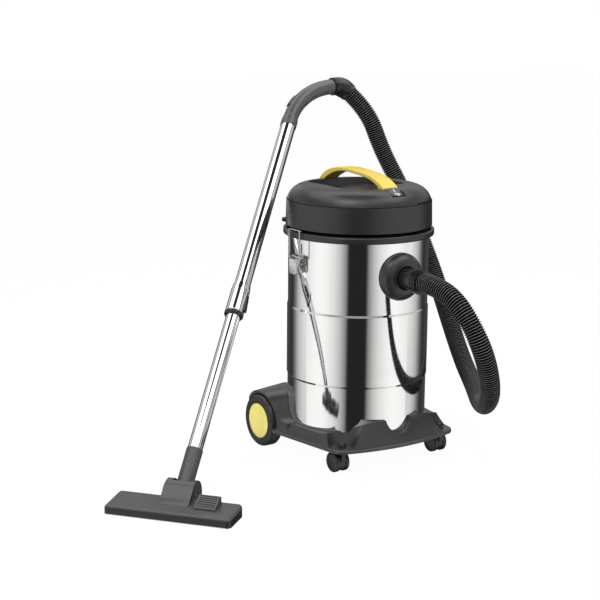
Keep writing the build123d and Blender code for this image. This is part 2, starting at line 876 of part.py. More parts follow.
def switch_pieces():
    """Recessed switch: bezel with a rocker on its own pivot."""
    frame = switch_frame()
    gap = 0.3
    bezel = Box(switch_width - gap, switch_length - gap, switch_depth)
    opening = Box(rocker_width + 2 * moving_gap, rocker_length + 2 * moving_gap, switch_depth - 3)
    bezel -= Pos(0, 0, 1.5) * opening
    bezel = Pos(0, 0, -switch_depth / 2 - 1) * bezel
    pivot_z = -switch_depth / 2
    pin = Pos(0, 0, pivot_z) * Rot(0, 90, 0) * Cylinder(1.5, rocker_width + 4)
    bezel += pin
    face = [(-rocker_length / 2 + 1, pivot_z - 3), (rocker_length / 2 - 1, pivot_z - 3)]
    face += [(rocker_length / 2 - 1.5, 0.5), (0, -1.2), (-rocker_length / 2 + 1.5, 2.5)]
    rocker = side_slab(face, -rocker_width / 2, rocker_width / 2)
    rocker -= Pos(0, 0, pivot_z) * Rot(0, 90, 0) * Cylinder(1.5 + running_gap, rocker_width + 4)
    return {"switch_bezel": frame * bezel, "switch_rocker": frame * rocker}


def motor_pieces():
    """Motor with its fan on a rubber ring, and the float under the throat."""
    mount_top = floor_top + motor_mount_height
    can_top = mount_top + fan_can_height
    motor_top = can_top + motor_height
    mount = hoop(motor_mount_radius, motor_mount_radius - 16, floor_top, mount_top)
    can = disc(fan_can_radius, mount_top, can_top) + disc(motor_radius, can_top, motor_top)
    can -= disc(fan_can_radius - fan_can_wall, mount_top + fan_can_wall, can_top - fan_can_wall)
    can -= disc(head_throat_radius - 6, mount_top - 1, mount_top + fan_can_wall + 1)
    can -= disc(shaft_radius + running_gap, can_top - fan_can_wall - 1, motor_top - 5)
    middle = (mount_top + can_top) / 2
    for turn in range(0, 360, 60):
        port = block((fan_can_radius - 8, fan_can_radius + 5), (-9, 9), (middle - 5, middle + 5))
        can -= Rot(0, 0, turn) * port
    shaft = disc(shaft_radius, mount_top + fan_can_wall + 1.5, motor_top - 6)
    fan_low = middle - fan_height / 2
    fan_high = fan_low + fan_height
    fan = disc(fan_radius, fan_high - 2, fan_high)
    fan += hoop(fan_radius, head_throat_radius - 6, fan_low, fan_low + 1.5)
    fan += disc(shaft_radius + 6, fan_low, fan_high)
    for turn in range(0, 360, 45):
        fan += Rot(0, 0, turn) * block((shaft_radius + 5, fan_radius - 1), (-1, 1), (fan_low, fan_high))
    fan -= disc(shaft_radius + seat_gap / 2, fan_low - 1, fan_high + 1)

    cage_low = band_low - cage_height
    cage = hoop(cage_radius + 16, cage_radius - cage_wall, band_low - 4, band_low)
    cage += disc(cage_radius, cage_low, band_low - 2)
    cage -= disc(cage_radius - cage_wall, cage_low + 3, band_low + 1)
    for turn in range(0, 180, 45):
        cage -= Rot(0, 0, turn) * block((-60, 60), (-7, 7), (cage_low + 8, band_low - 10))
    float_low = cage_low + 3
    cup = turned(
        [(0, float_low), (float_radius - 4, float_low), (float_radius, float_low + 4),
         (float_radius, float_low + float_height), (0, float_low + float_height)],
        [0, 3, 2, 3, 0],
    )
    return {
        "motor_mount": mount,
        "motor_can": can,
        "fan_shaft": shaft,
        "fan_impeller": fan,
        "float_cage": cage,
        "float_cup": cup,
    }


def latch_pieces():
    """Draw latches: bracket riveted to the drum, lever on its pin, wire bail over the flange."""
    pivot_x = drum_radius + latch_pivot_reach
    pivot_z = latch_pivot_z
    bail_x = pivot_x + bail_pivot_out
    bail_z = pivot_z - bail_pivot_drop
    half = lever_width / 2
    ear_in = half + moving_gap
    ear_out = ear_in + latch_sheet
    skin = hoop(drum_radius + seat_gap + latch_sheet, drum_radius + seat_gap, 400, 600)
    bracket = skin & block((100, 300), (-ear_out, ear_out), (pivot_z - 28, pivot_z + 8))
    bracket += skin & block((100, 300), (-8, 8), (pivot_z, pivot_z + 32))
    for side in (-1, 1):
        near, far = sorted((side * ear_in, side * ear_out))
        ear = block((drum_radius - 4, pivot_x), (near, far), (pivot_z - ear_radius, pivot_z + ear_radius))
        ear += rod((pivot_x, near, pivot_z), (pivot_x, far, pivot_z), ear_radius)
        bracket += ear - disc(drum_radius + seat_gap, 400, 600)
    bracket += rod((pivot_x, -ear_out, pivot_z), (pivot_x, ear_out, pivot_z), latch_pin_radius)
    for y, z in rivet_places():
        bracket -= rod((150, y, z), (220, y, z), rivet_radius + seat_gap)

    plate_x = bail_x + bail_wire_radius + 0.8
    plate_top = pivot_z - 4
    plate_low = pivot_z - lever_length
    lever = block((plate_x, plate_x + lever_sheet), (-half, half), (plate_low, plate_top))
    lever = fillet(lever.edges().filter_by(Axis.X), 5)
    for side in (-1, 1):
        near, far = sorted((side * half, side * (half - lever_sheet)))
        outline = make_hull(
            [
                *(Pos(pivot_x, pivot_z) * Circle(latch_pin_radius + 2)).edges(),
                *(Pos(bail_x, bail_z) * Circle(bail_wire_radius + 0.8 + lever_sheet)).edges(),
                *(Pos(plate_x + 0.5, plate_top - 20) * Circle(1)).edges(),
            ]
        )
        plane = Plane(origin=(0, far, 0), x_dir=(1, 0, 0), z_dir=(0, -1, 0))
        lever += plane * extrude(outline, far - near)
    lever += rod((pivot_x, -half, pivot_z), (pivot_x, half, pivot_z), latch_pin_radius + 1.2)
    lever -= rod((pivot_x, -50, pivot_z), (pivot_x, 50, pivot_z), latch_pin_radius + running_gap)
    lever -= rod((bail_x, -50, bail_z), (bail_x, 50, bail_z), bail_wire_radius + running_gap)

    hook_z = flange_top + bail_lift + bail_wire_radius
    wide = bail_half_width
    pin_end = half - lever_sheet - 0.5
    bail = wire_through(
        [
            (bail_x, -pin_end, bail_z),
            (bail_x, -wide, bail_z),
            (bail_x, -wide, hook_z),
            (bail_x - bail_hook, -wide, hook_z),
            (bail_x - bail_hook, wide, hook_z),
            (bail_x, wide, hook_z),
            (bail_x, wide, bail_z),
            (bail_x, pin_end, bail_z),
        ],
        bail_wire_radius,
    )
    pieces = mirrored_pair("latch_bracket", bracket)
    pieces |= mirrored_pair("latch_lever", lever)
    pieces |= mirrored_pair("latch_bail", bail)
    rivets = None
    for y, z in rivet_places():
        seat = math.sqrt(drum_radius**2 - y**2)
        shank = rod((seat - drum_wall - 1, y, z), (seat + latch_sheet + 0.5, y, z), rivet_radius)
        head = rod((seat + latch_sheet + 0.4, y, z), (seat + latch_sheet + 1.8, y, z), rivet_radius + 1.4)
        tail = rod((seat - drum_wall - 2.2, y, z), (seat - drum_wall - 0.4, y, z), rivet_radius + 1)
        rivet = shank + head + tail
        rivets = rivet if rivets is None else rivets + rivet
    pieces["latch_rivets"] = both_sides(rivets)
    return pieces


def wand_pieces():
    """Telescopic wand in the frame of the nozzle's pivot, Z up the tube."""
    inner = lower_tube_radius - tube_wall
    lower_low = neck_length - lower_tube_plug
    lower_high = sleeve_start + lower_tube_overlap
    lower = hoop(lower_tube_radius, inner, lower_low, lower_high)
    upper_inner = upper_tube_radius - tube_wall
    upper = hoop(upper_tube_radius, upper_inner, upper_start - 30, wand_length)
    upper_hold = upper_tube_radius + seat_gap
    slide_bore = lower_tube_radius + moving_gap
    ring_top = sleeve_start + sleeve_ring_length
    sleeve = turned(
        [
            (slide_bore, ring_top),
            (sleeve_radius, ring_top),
            (sleeve_radius, upper_start - 18),
            (upper_tube_radius + 1.2, upper_start),
            (upper_hold, upper_start),
            (upper_hold, upper_start - 30),
            (slide_bore, upper_start - 30),
        ],
        [0, 1.5, 6, 1, 0, 0, 0],
    )
    lock_middle = ring_top + 8 + lock_length / 2
    track = Pos(sleeve_radius, 0, lock_middle) * Box(6, lock_width + 2 * moving_gap, lock_length + 14)
    sleeve -= track
    bush = turned(
        [
            (lower_tube_radius + running_gap, sleeve_start),
            (sleeve_radius - 1, sleeve_start),
            (sleeve_radius + 0.6, sleeve_start + 3),
            (sleeve_radius + 0.6, ring_top),
            (lower_tube_radius + running_gap, ring_top),
        ],
        [0, 1, 1, 1, 0],
    )
    floor = sleeve_radius - 3 + 0.05
    wedge = Polyline(
        (floor, 0),
        (floor + lock_height + 2, 0),
        (floor + lock_height - 2, lock_length),
        (floor, lock_length),
        close=True,
    )
    wedge_plane = Plane(origin=(0, lock_width / 2, 0), x_dir=(1, 0, 0), z_dir=(0, -1, 0))
    lock = Pos(0, 0, lock_middle - lock_length / 2) * (wedge_plane * extrude(make_face(wedge), lock_width))
    slide_fit = upper_inner - running_gap
    guide = hoop(slide_fit, lower_tube_radius + seat_gap, lower_high - bush_length, lower_high)
    guide += hoop(slide_fit, inner, lower_high, lower_high + 2)
    pieces = {
        "lower_tube": lower,
        "upper_tube": upper,
        "tube_sleeve": sleeve,
        "tube_ring": bush,
        "tube_lock": lock,
        "guide_bush": guide,
    }
    neck = disc(neck_radius, 0, neck_length)
    neck += Rot(0, 90, 0) * Cylinder(knuckle_radius, 2 * (hood_half_width - hood_wall - moving_gap))
    neck -= disc(lower_tube_radius + seat_gap, lower_low, neck_length + 1)
    neck -= disc(inner - 1, -60, lower_low + 1)
    neck -= Rot(0, 90, 0) * Cylinder(knuckle_radius - 5, 2 * (hood_half_width - hood_wall - 4))
    neck -= Rot(0, 90, 0) * Cylinder(pedal_pin_radius + 1.5 + running_gap, 200)
    pieces["nozzle_neck"] = neck
    return {name: wand_frame * shape for name, shape in pieces.items()}


def handle_pieces():
    """Bent handle with its spigots and the slider that lets air in."""
    sections = []
    for share, swell in ((0.0, 0.0), (0.15, 0.3), (0.4, 1.0), (0.7, 1.0), (1.0, 1.0)):
        radius = handle_root_radius + swell * (handle_radius - handle_root_radius)
        frame = after_bend(handle_frame, handle_bend, handle_turn * share)
        sections.append(frame * Circle(radius))
    body = loft(sections)
    body += handle_frame * disc(upper_tube_radius - tube_wall - seat_gap, -handle_spigot, 8)
    body += swivel_frame * disc(swivel_radius, -2, swivel_length - 1)
    bore = bent_bore(handle_frame, handle_bend, handle_turn, handle_bore)
    bore += handle_frame * disc(handle_bore, -handle_spigot - 1, 0)
    bore += swivel_frame * disc(handle_bore, 0, swivel_length + 1)
    body -= bore

    place = after_bend(handle_frame, handle_bend, slider_angle)
    seat = handle_root_radius - 0.8
    recess = Pos(-seat - 8, 0, 0) * Box(18, slider_width + 2 * moving_gap, slider_length + 16)
    body -= place * recess
    slider = Pos(-seat - slider_height / 2 + 0.8, 0, 0) * Box(slider_height, slider_width, slider_length)
    slider = fillet(slider.edges().filter_by(Axis.X), 4)
    for step in range(-2, 3):
        slider += Pos(-seat - slider_height + 0.8, 0, step * 5) * Box(1.6, slider_width - 4, 2)
    return {"bent_handle": body, "suction_slider": place * slider}


def nozzle_skin(inset):
    """Solid inside the nozzle's outer surface, in the nozzle's frame."""
    top = [
        (inset, -inset),
        (inset, nozzle_front_height - inset),
        (nozzle_depth - inset, nozzle_back_height - inset),
        (nozzle_depth - inset, -inset),
    ]
    half = nozzle_length / 2 - inset
    solid = side_slab(top, -half, half, [0, 5, 5, 0])
    upright = solid.edges().filter_by(Axis.Z)
    return fillet(upright, max(nozzle_corner - inset, 2))


def nozzle_pieces():
    """Floor nozzle: lower band, top shell with hood, sole, brush, pedal and pins."""
    outer = nozzle_skin(0)
    hollow = nozzle_skin(3.5)
    below = block((-300, 300), (-50, 300), (sole_thickness, nozzle_band_height))
    above = block((-300, 300), (-50, 300), (nozzle_band_height, 200))
    band = (outer - hollow) & below
    shell = (outer - hollow) & above

    axis_point = (0, pivot_back, pivot_height)
    turn = Pos(*axis_point) * Rot(0, 90, 0)
    hump = turn * Cylinder(hood_radius, 2 * hood_half_width)
    lip_z = nozzle_front_height + 4
    hood_lip = side_slab(
        [
            (hood_front, nozzle_band_height + 2),
            (hood_front, lip_z),
            (62, lip_z + 4),
            (pivot_back, pivot_height + hood_radius),
            (pivot_back, 10),
        ],
        -hood_half_width,
        hood_half_width,
        [0, 2, 9, 0, 0],
    )
    hood = hump + hood_lip
    inside = turn * Cylinder(hood_radius - hood_wall, 2 * (hood_half_width - hood_wall))
    clear = hood_half_width - hood_wall
    inside += block((-clear, clear), (hood_front + 8, pivot_back), (0, lip_z - 3))
    hood -= inside
    neck_slot = block((-neck_radius - 1.5, neck_radius + 1.5), (0, 60), (-12, 60))
    opening = Pos(*axis_point) * Rot(neck_rise, 0, 0) * neck_slot
    low_cut = block((-clear, clear), (pivot_back, 200), (-20, pivot_height))
    hood -= opening + low_cut
    hood -= block((-300, 300), (-50, 300), (-50, 4))
    shell -= block((-hood_half_width, hood_half_width), (hood_front, 200), (0, 100))
    band -= block((-hood_half_width, hood_half_width), (nozzle_depth - 20, 200), (4, 100))
    band -= turn * Cylinder(hood_radius + seat_gap, 2 * hood_half_width + seat_gap)
    span = (-hood_half_width, hood_half_width)
    foot = block(span, (hood_front, nozzle_depth - 21), (nozzle_band_height, 60))
    foot += block(span, (nozzle_depth - 21, nozzle_depth - 20), (nozzle_band_height, 200))
    hood &= foot + block(span, (nozzle_depth - 20, 200), (4, 200))
    shell += hood
    pin_hole = turn * Cylinder(pedal_pin_radius + 1.5 + seat_gap, 200)
    shell -= pin_hole
    hinge_pin = turn * Cylinder(pedal_pin_radius + 1.5, 2 * hood_half_width + 1)

    pedal_right = pedal_left + pedal_width
    pedal_back = pedal_front + pedal_depth
    gap = moving_gap
    pedal_hole = block(
        (pedal_left - gap, pedal_right + gap),
        (pedal_front - gap, pedal_back + gap + pedal_swing_room),
        (nozzle_band_height + 1, 100),
    )
    shell -= pedal_hole
    pin_y = pedal_front + 6
    pin_z = nozzle_front_height - 5
    pedal_side = [
        (pedal_front, pin_z - 4),
        (pedal_front, nozzle_front_height + 6.5),
        (pedal_back, nozzle_back_height + pedal_rise),
        (pedal_back, nozzle_back_height + 2),
        (pin_y + 8, pin_z - 4),
    ]
    pedal = side_slab(pedal_side, pedal_left, pedal_right, [0, 3, 4, 3, 0])
    climb = nozzle_back_height + pedal_rise - nozzle_front_height - 6.5
    slope = math.degrees(math.atan2(climb, pedal_depth))
    for step in range(6):
        share = (step + 1.2) / 7.4
        y = pedal_front + share * pedal_depth
        z = nozzle_front_height + 6.5 + share * climb
        rib = Pos((pedal_left + pedal_right) / 2, y, z) * Rot(slope, 0, 0) * Box(pedal_width - 8, 2, 2.4)
        pedal += rib
    pin_bore = pedal_pin_radius + running_gap
    pedal -= rod((pedal_left - 30, pin_y, pin_z), (pedal_right + 30, pin_y, pin_z), pin_bore)
    pin = rod((pedal_left - 8, pin_y, pin_z), (pedal_right + 8, pin_y, pin_z), pedal_pin_radius)
    for x in (pedal_left - 8, pedal_right + 2):
        post = block((x, x + 6), (2, pin_y + 5), (8, nozzle_band_height))
        post += block((x, x + 6), (pin_y - 4, pin_y + 4), (8, pin_z + pedal_pin_radius + 1))
        band += post - rod((x - 1, pin_y, pin_z), (x + 7, pin_y, pin_z), pedal_pin_radius + seat_gap)

    sole_plan = Pos(0, nozzle_depth / 2) * RectangleRounded(nozzle_length, nozzle_depth, nozzle_corner)
    slot_y = 26
    sole = extrude(sole_plan, sole_thickness)
    sole -= Pos(0, slot_y, 0) * Box(slot_length, slot_depth, 20)
    brush_y = slot_y + slot_depth / 2 + 29
    brush_half = slot_length / 2
    sole -= block((-brush_half - 1, brush_half + 1), (brush_y - 4, brush_y + 4), (-5, 5))
    brush = block((-brush_half, brush_half), (brush_y - 3.5, brush_y + 3.5), (brush_drop + 1, 12))
    brush += block((-brush_half, brush_half), (brush_y - 2, brush_y + 2), (0.5, brush_drop + 1))
    pieces = {
        "nozzle_band": band,
        "nozzle_shell": shell,
        "nozzle_sole": sole,
        "nozzle_brush": brush,
        "nozzle_pedal": pedal,
        "nozzle_pins": pin + hinge_pin,
    }
    return {name: nozzle_frame * shape for name, shape in pieces.items()}


def main():
    """Build every piece and write one STEP file for each."""
    os.makedirs("parts", exist_ok=True)
    pieces = {}
    for group in (
        tank_pieces,
        hose_piece,
        swivel_cuff_piece,
        trolley_piece,
        axle_pieces,
        caster_pieces,
        head_pieces,
        switch_pieces,
        motor_pieces,
        latch_pieces,
        wand_pieces,
        handle_pieces,
        nozzle_pieces,
    ):
        pieces |= group()
    for name, shape in pieces.items():
        export_step(shape, "parts/" + name + ".step")
    print(len(pieces), "pieces")


if __name__ == "__main__":
    main()
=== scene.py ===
"""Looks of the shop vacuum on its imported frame: finishes, ribbed hose, small trim and studio."""

from __future__ import annotations

import logging
import math
from dataclasses import dataclass
from enum import Enum
from typing import Any, Mapping, Sequence

import bmesh
import bpy
from mathutils import Matrix, Vector

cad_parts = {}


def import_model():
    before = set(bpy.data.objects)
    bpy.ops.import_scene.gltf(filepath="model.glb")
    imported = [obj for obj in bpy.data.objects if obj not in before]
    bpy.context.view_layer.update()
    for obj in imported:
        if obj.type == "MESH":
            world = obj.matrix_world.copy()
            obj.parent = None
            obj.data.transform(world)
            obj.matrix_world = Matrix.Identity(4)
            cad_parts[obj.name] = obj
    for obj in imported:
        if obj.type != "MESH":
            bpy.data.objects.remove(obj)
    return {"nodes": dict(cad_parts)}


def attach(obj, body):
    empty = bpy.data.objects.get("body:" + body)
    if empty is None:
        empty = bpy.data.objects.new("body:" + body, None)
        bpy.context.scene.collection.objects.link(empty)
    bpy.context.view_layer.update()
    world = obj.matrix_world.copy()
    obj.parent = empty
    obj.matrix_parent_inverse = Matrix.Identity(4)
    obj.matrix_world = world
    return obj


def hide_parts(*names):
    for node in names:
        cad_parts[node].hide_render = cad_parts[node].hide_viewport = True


LOG = logging.getLogger("shop_vacuum")
Piece = bpy.types.Object
Pair = tuple[float, float]
Colour = tuple[float, float, float]
Point = tuple[float, float, float]
WHITE: Colour = (1.0, 1.0, 1.0)
# Near-black that is painted into grooves and gaps as painted shade.
SHADOW_BLACK: Colour = (0.0015, 0.0015, 0.0016)
MERGE = 0.000001
SIDES = 8


class Shade:
    """Output socket whose arithmetic adds Math nodes to its own tree."""

    def __init__(self, desk: Desk, socket: bpy.types.NodeSocket) -> None:
        """Keep the desk that adds nodes and the socket that holds the value."""
        self.desk = desk
        self.socket = socket

    def math(self, operation: str, *values: Any) -> Shade:
        """Value of one Math node on this socket and the others."""
        return self.desk.math(operation, self, *values)

    def __add__(self, other: Any) -> Shade:
        """Sum."""
        return self.math("ADD", other)

    def __radd__(self, other: Any) -> Shade:
        """Sum with a number on the left."""
        return self.desk.math("ADD", other, self)

    def __sub__(self, other: Any) -> Shade:
        """Difference."""
        return self.math("SUBTRACT", other)

    def __rsub__(self, other: Any) -> Shade:
        """Difference with a number on the left."""
        return self.desk.math("SUBTRACT", other, self)

    def __mul__(self, other: Any) -> Shade:
        """Product."""
        return self.math("MULTIPLY", other)

    def __rmul__(self, other: Any) -> Shade:
        """Product with a number on the left."""
        return self.desk.math("MULTIPLY", other, self)

    def __truediv__(self, other: Any) -> Shade:
        """Quotient."""
        return self.math("DIVIDE", other)

    def __pow__(self, other: Any) -> Shade:
        """Power."""
        return self.math("POWER", other)

    def band(self, low: float, high: float) -> Shade:
        """Smooth step from 0 at one value to 1 at another, also where the first is the larger.

        Args:
            low: Value that gives 0.
            high: Value that gives 1.

        Returns:
            The step as a value from 0 to 1.
        """
        settings = {"interpolation_type": "SMOOTHSTEP"}
        sockets = {"Value": self, "From Min": low, "From Max": high}
        return self.desk.node("ShaderNodeMapRange", settings, sockets)["Result"]


class Made:
    """Node that a desk has added."""

    def __init__(self, desk: Desk, node: bpy.types.Node) -> None:
        """Keep the desk and the node."""
        self.desk = desk
        self.node = node

    def __getitem__(self, key: str | int) -> Shade:
        """Output socket by name or number."""
        return Shade(self.desk, self.node.outputs[key])


class Desk:
    """Node tree of a material, a world or a Geometry Nodes group that is being written."""

    def __init__(self, tree: bpy.types.NodeTree) -> None:
        """Start from an empty tree."""
        self.tree = tree
        tree.nodes.clear()

    def node(
        self,
        kind: str,
        settings: Mapping[str, Any] | None = None,
        sockets: Mapping[str | int, Any] | None = None,
    ) -> Made:
        """Add one node.

        Args:
            kind: Blender's name of the node type.
            settings: Properties of the node, set first; "stops" fills a colour ramp.
            sockets: Values or other nodes' outputs, by the input's name or number.

        Returns:
            The node that was added.
        """
        made = self.tree.nodes.new(kind)
        for name, value in (settings or {}).items():
            if name == "stops":
                self._fill_ramp(made.color_ramp, value)
            else:
                setattr(made, name, value)
        for key, value in (sockets or {}).items():
            if isinstance(value, Shade):
                self.tree.links.new(value.socket, made.inputs[key])
            else:
                made.inputs[key].default_value = value
        return Made(self, made)

    @staticmethod
    def _fill_ramp(ramp: bpy.types.ColorRamp, stops: Sequence[Pair]) -> None:
        """Set the grey stops of a colour ramp.

        Args:
            ramp: Ramp with its two first stops.
            stops: Position and grey value of each stop, in order.
        """
        while len(ramp.elements) < len(stops):
            ramp.elements.new(1.0)
        for element, (place, grey) in zip(ramp.elements, stops):
            element.position = place
            element.color = (grey, grey, grey, 1.0)

    def math(self, operation: str, *values: Any) -> Shade:
        """Value of one Math node on numbers and sockets."""
        sockets = dict(enumerate(values))
        return self.node("ShaderNodeMath", {"operation": operation}, sockets)["Value"]

    def mix(self, factor: Any, first: Any, second: Any) -> Shade:
        """Colour between two colours or sockets, the first at factor 0 and the second at 1."""
        sockets = {0: factor, 6: solid(first), 7: solid(second)}
        return self.node("ShaderNodeMix", {"data_type": "RGBA"}, sockets)[2]

    def noise(
        self, place: Shade, size: float, detail: float, stretch: Point = (1.0, 1.0, 1.0)
    ) -> Shade:
        """Noise over a surface.

        Args:
            place: Coordinates in metres.
            size: Size of the noise's features in metres.
            detail: Number of finer layers.
            stretch: Factor on each axis.

        Returns:
            Value from 0 to 1.
        """
        scale = tuple(share / size for share in stretch)
        spread = self.node("ShaderNodeMapping", {}, {"Vector": place, "Scale": scale})["Vector"]
        sockets = {"Vector": spread, "Scale": 1.0, "Detail": detail}
        return self.node("ShaderNodeTexNoise", {}, sockets)[0]

    def object_place(self) -> Shade:
        """Object coordinates, in metres."""
        return self.node("ShaderNodeTexCoord")["Object"]

    def parts(self, place: Shade) -> Made:
        """Node that gives X, Y and Z of a place."""
        return self.node("ShaderNodeSeparateXYZ", {}, {0: place})

    def tints(self, factor: Shade, colour: Colour, shares: Pair) -> Shade:
        """Colour between two tints of one colour."""
        return self.mix(factor, *(tinted(colour, share) for share in shares))

    def bump(self, strength: float, depth: float, height: Shade) -> Shade:
        """Normal of a surface whose relief has a depth in metres."""
        sockets = {"Strength": strength, "Distance": depth, "Height": height}
        return self.node("ShaderNodeBump", {}, sockets)["Normal"]

    def principled(self, colour: Any, rough: Any, **others: Any) -> Shade:
        """Principled shader of a colour, a roughness and other inputs by name."""
        sockets = {"Base Color": colour, "Roughness": rough, **others}
        return self.node("ShaderNodeBsdfPrincipled", {}, sockets)["BSDF"]


def solid(colour: Any) -> Any:
    """Colour with full alpha, or the socket itself."""
    return colour if isinstance(colour, Shade) else (*colour, 1.0)


def tinted(colour: Colour, share: float) -> Colour:
    """Colour made lighter or darker by a share."""
    return tuple(min(1.0, part * share) for part in colour)


def painted_shadow(desk: Desk) -> Shade:
    """Shader of the flat black that is painted into grooves and gaps as painted shade."""
    return desk.principled(solid(SHADOW_BLACK), 0.8, **{"Specular IOR Level": 0.05})


@dataclass(frozen=True)
class Finish:
    """Base of the procedural finishes."""

    name: str

    def material(self) -> bpy.types.Material:
        """Material of this finish, made the first time it is asked for.

        Returns:
            The material.
        """
        known = bpy.data.materials.get(self.name)
        if known is not None:
            return known
        made = bpy.data.materials.new(self.name)
        made.use_nodes = True
        desk = Desk(made.node_tree)
        surface = self.surface(desk)
        desk.node("ShaderNodeOutputMaterial", {}, {"Surface": surface})
        return made

    def surface(self, desk: Desk) -> Shade:
        """Shader of the finish, written on the desk of the material's tree."""
        raise NotImplementedError


@dataclass(frozen=True)
class MouldedPlastic(Finish):
    """Injection-moulded plastic: spark grain, scuffs, settled dust, painted shade in grooves and
    gaps.
    """

    colour: Colour = (0.03, 0.03, 0.032)
    roughness: float = 0.42
    grain: float = 0.0006
    grain_depth: float = 0.00004
    scuff: float = 0.35
    dust_top: float = 0.0
    lines: tuple[float, ...] = ()
    # Height ranges that get flat black as painted shade in gaps between parts.
    gaps: tuple[Pair, ...] = ()
    mottle_size: float = 0.045
    mottle_tints: Pair = (0.86, 1.14)
    mottle_rough: float = 0.10
    rub_size: float = 0.012
    rub_stretch: Point = (1.0, 0.22, 1.0)
    rub_edges: Pair = (0.60, 0.74)
    rub_share: float = 0.35
    rub_tint: float = 1.9
    rub_rough: float = 0.12
    dust_size: float = 0.03
    dust_edges: Pair = (0.40, 0.75)
    dust_share: float = 0.16
    dust_colour: Colour = (0.30, 0.28, 0.25)
    # Edges, share, tint and depth of the mould lines; the share and tint darken each groove as
    # painted shade.
    line_edges: Pair = (0.0007, 0.0002)
    line_share: float = 0.75
    line_shade_tint: float = 0.25
    line_depth: float = 6.0
    gap_edge: float = 0.0003

    def surface(self, desk: Desk) -> Shade:
        """Plastic shader.

        Args:
            desk: Desk of the material's tree.

        Returns:
            The shader's output.
        """
        place = desk.object_place()
        mottle = desk.noise(place, self.mottle_size, 3.0)
        height = desk.noise(place, self.grain, 1.0)
        streaks = desk.noise(place, self.rub_size, 4.0, self.rub_stretch)
        rub = streaks.band(*self.rub_edges) * self.scuff
        colour = desk.tints(mottle, self.colour, self.mottle_tints)
        colour = desk.mix(rub * self.rub_share, colour, tinted(self.colour, self.rub_tint))
        parts = desk.parts(place)
        if self.dust_top:
            cloud = desk.noise(place, self.dust_size, 4.0).band(*self.dust_edges)
            dust = parts["Z"].band(self.dust_top, 0.0) * cloud
            colour = desk.mix(dust * self.dust_share, colour, self.dust_colour)
        # Each mould line is a bumped groove whose colour is also darkened as painted shade.
        for line in self.lines:
            groove = (parts["Z"] - line).math("ABSOLUTE").band(*self.line_edges)
            shaded = tinted(self.colour, self.line_shade_tint)
            colour = desk.mix(groove * self.line_share, colour, shaded)
            height = height - groove * self.line_depth
        base = self.roughness - 0.5 * self.mottle_rough
        rough = mottle * self.mottle_rough + rub * self.rub_rough + base
        bump = desk.bump(0.6, self.grain_depth, height)
        plastic = desk.principled(colour, rough, Normal=bump)
        # Each gap band is covered in flat black as painted shade.
        for low, high in self.gaps:
            above = parts["Z"].band(low - self.gap_edge, low)
            inside = above * parts["Z"].band(high + self.gap_edge, high)
            sockets = {0: inside, 1: plastic, 2: painted_shadow(desk)}
            plastic = desk.node("ShaderNodeMixShader", {}, sockets)[0]
        return plastic


@dataclass(frozen=True)
class BrightMetal(Finish):
    """Polished or plated metal with hairlines, faint smudges and a slight wave in the sheet."""

    colour: Colour = (0.80, 0.80, 0.80)
    roughness: float = 0.07
    hairline: Point = (1.0, 1.0, 60.0)
    hairline_size: float = 0.05
    wave_size: float = 0.11
    wave_depth: float = 0.0012
    seam: bool = False
    hair_tints: Pair = (0.94, 1.05)
    hair_rough: float = 0.05
    hair_height: float = 0.004
    smudge_size: float = 0.06
    smudge_edges: Pair = (0.52, 0.78)
    smudge_share: float = 0.25
    smudge_tint: float = 0.88
    smudge_rough: float = 0.06
    weld_edges: Pair = (0.0016, 0.0006)
    weld_start: Pair = (0.10, 0.12)
    weld_share: float = 0.5
    weld_tint: float = 0.55
    ripple_size: float = 0.0018

    def surface(self, desk: Desk) -> Shade:
        """Metal shader.

        Args:
            desk: Desk of the material's tree.

        Returns:
            The shader's output.
        """
        place = desk.object_place()
        hair = desk.noise(place, self.hairline_size, 3.0, self.hairline)
        smudge = desk.noise(place, self.smudge_size, 4.0).band(*self.smudge_edges)
        wave = desk.noise(place, self.wave_size, 1.0, (1.0, 1.0, 0.55))
        colour = desk.tints(hair, self.colour, self.hair_tints)
        faded = tinted(self.colour, self.smudge_tint)
        colour = desk.mix(smudge * self.smudge_share, colour, faded)
        base = self.roughness - 0.02
        rough = hair * self.hair_rough + smudge * self.smudge_rough + base
        height = wave + hair * self.hair_height
        if self.seam:
            parts = desk.parts(place)
            behind = parts["Y"].band(*self.weld_start)
            weld = parts["X"].math("ABSOLUTE").band(*self.weld_edges) * behind
            ripple = desk.noise(place, self.ripple_size, 1.0)
            dulled = tinted(self.colour, self.weld_tint)
            colour = desk.mix(weld * self.weld_share, colour, dulled)
            rough = rough + weld * (0.25 + ripple * 0.2)
            height = height + weld * (0.06 + ripple * 0.05)
        bump = desk.bump(0.35, self.wave_depth, height)
        return desk.principled(colour, rough, Metallic=1.0, Normal=bump)


@dataclass(frozen=True)
class WovenCloth(Finish):
    """Filter cloth with a plain weave and grey dirt that has settled in it."""

    colour: Colour = (0.62, 0.60, 0.55)
    roughness: float = 0.82
    thread: float = 0.0011
    weave_depth: float = 0.0002
    around_share: float = 0.12
    weave_tints: Pair = (0.82, 1.08)
    dirt_size: float = 0.05
    dirt_edges: Pair = (0.45, 0.8)
    dirt_tint: float = 0.6

    def surface(self, desk: Desk) -> Shade:
        """Cloth shader.

        Args:
            desk: Desk of the material's tree.

        Returns:
            The shader's output.
        """
        place = desk.object_place()
        parts = desk.parts(place)
        turn = 2 * math.pi / self.thread
        around = desk.math("ARCTAN2", parts["Y"], parts["X"]) * (self.around_share * turn)
        weave = (around.math("SINE") * (parts["Z"] * turn).math("SINE")) * 0.5 + 0.5
        dirt = desk.noise(place, self.dirt_size, 4.0)
        colour = desk.tints(weave, self.colour, self.weave_tints)
        settled = dirt.band(*self.dirt_edges) * 0.5
        colour = desk.mix(settled, colour, tinted(self.colour, self.dirt_tint))
        bump = desk.bump(0.5, self.weave_depth, weave)
        return desk.principled(colour, dirt * 0.1 + self.roughness, Normal=bump)


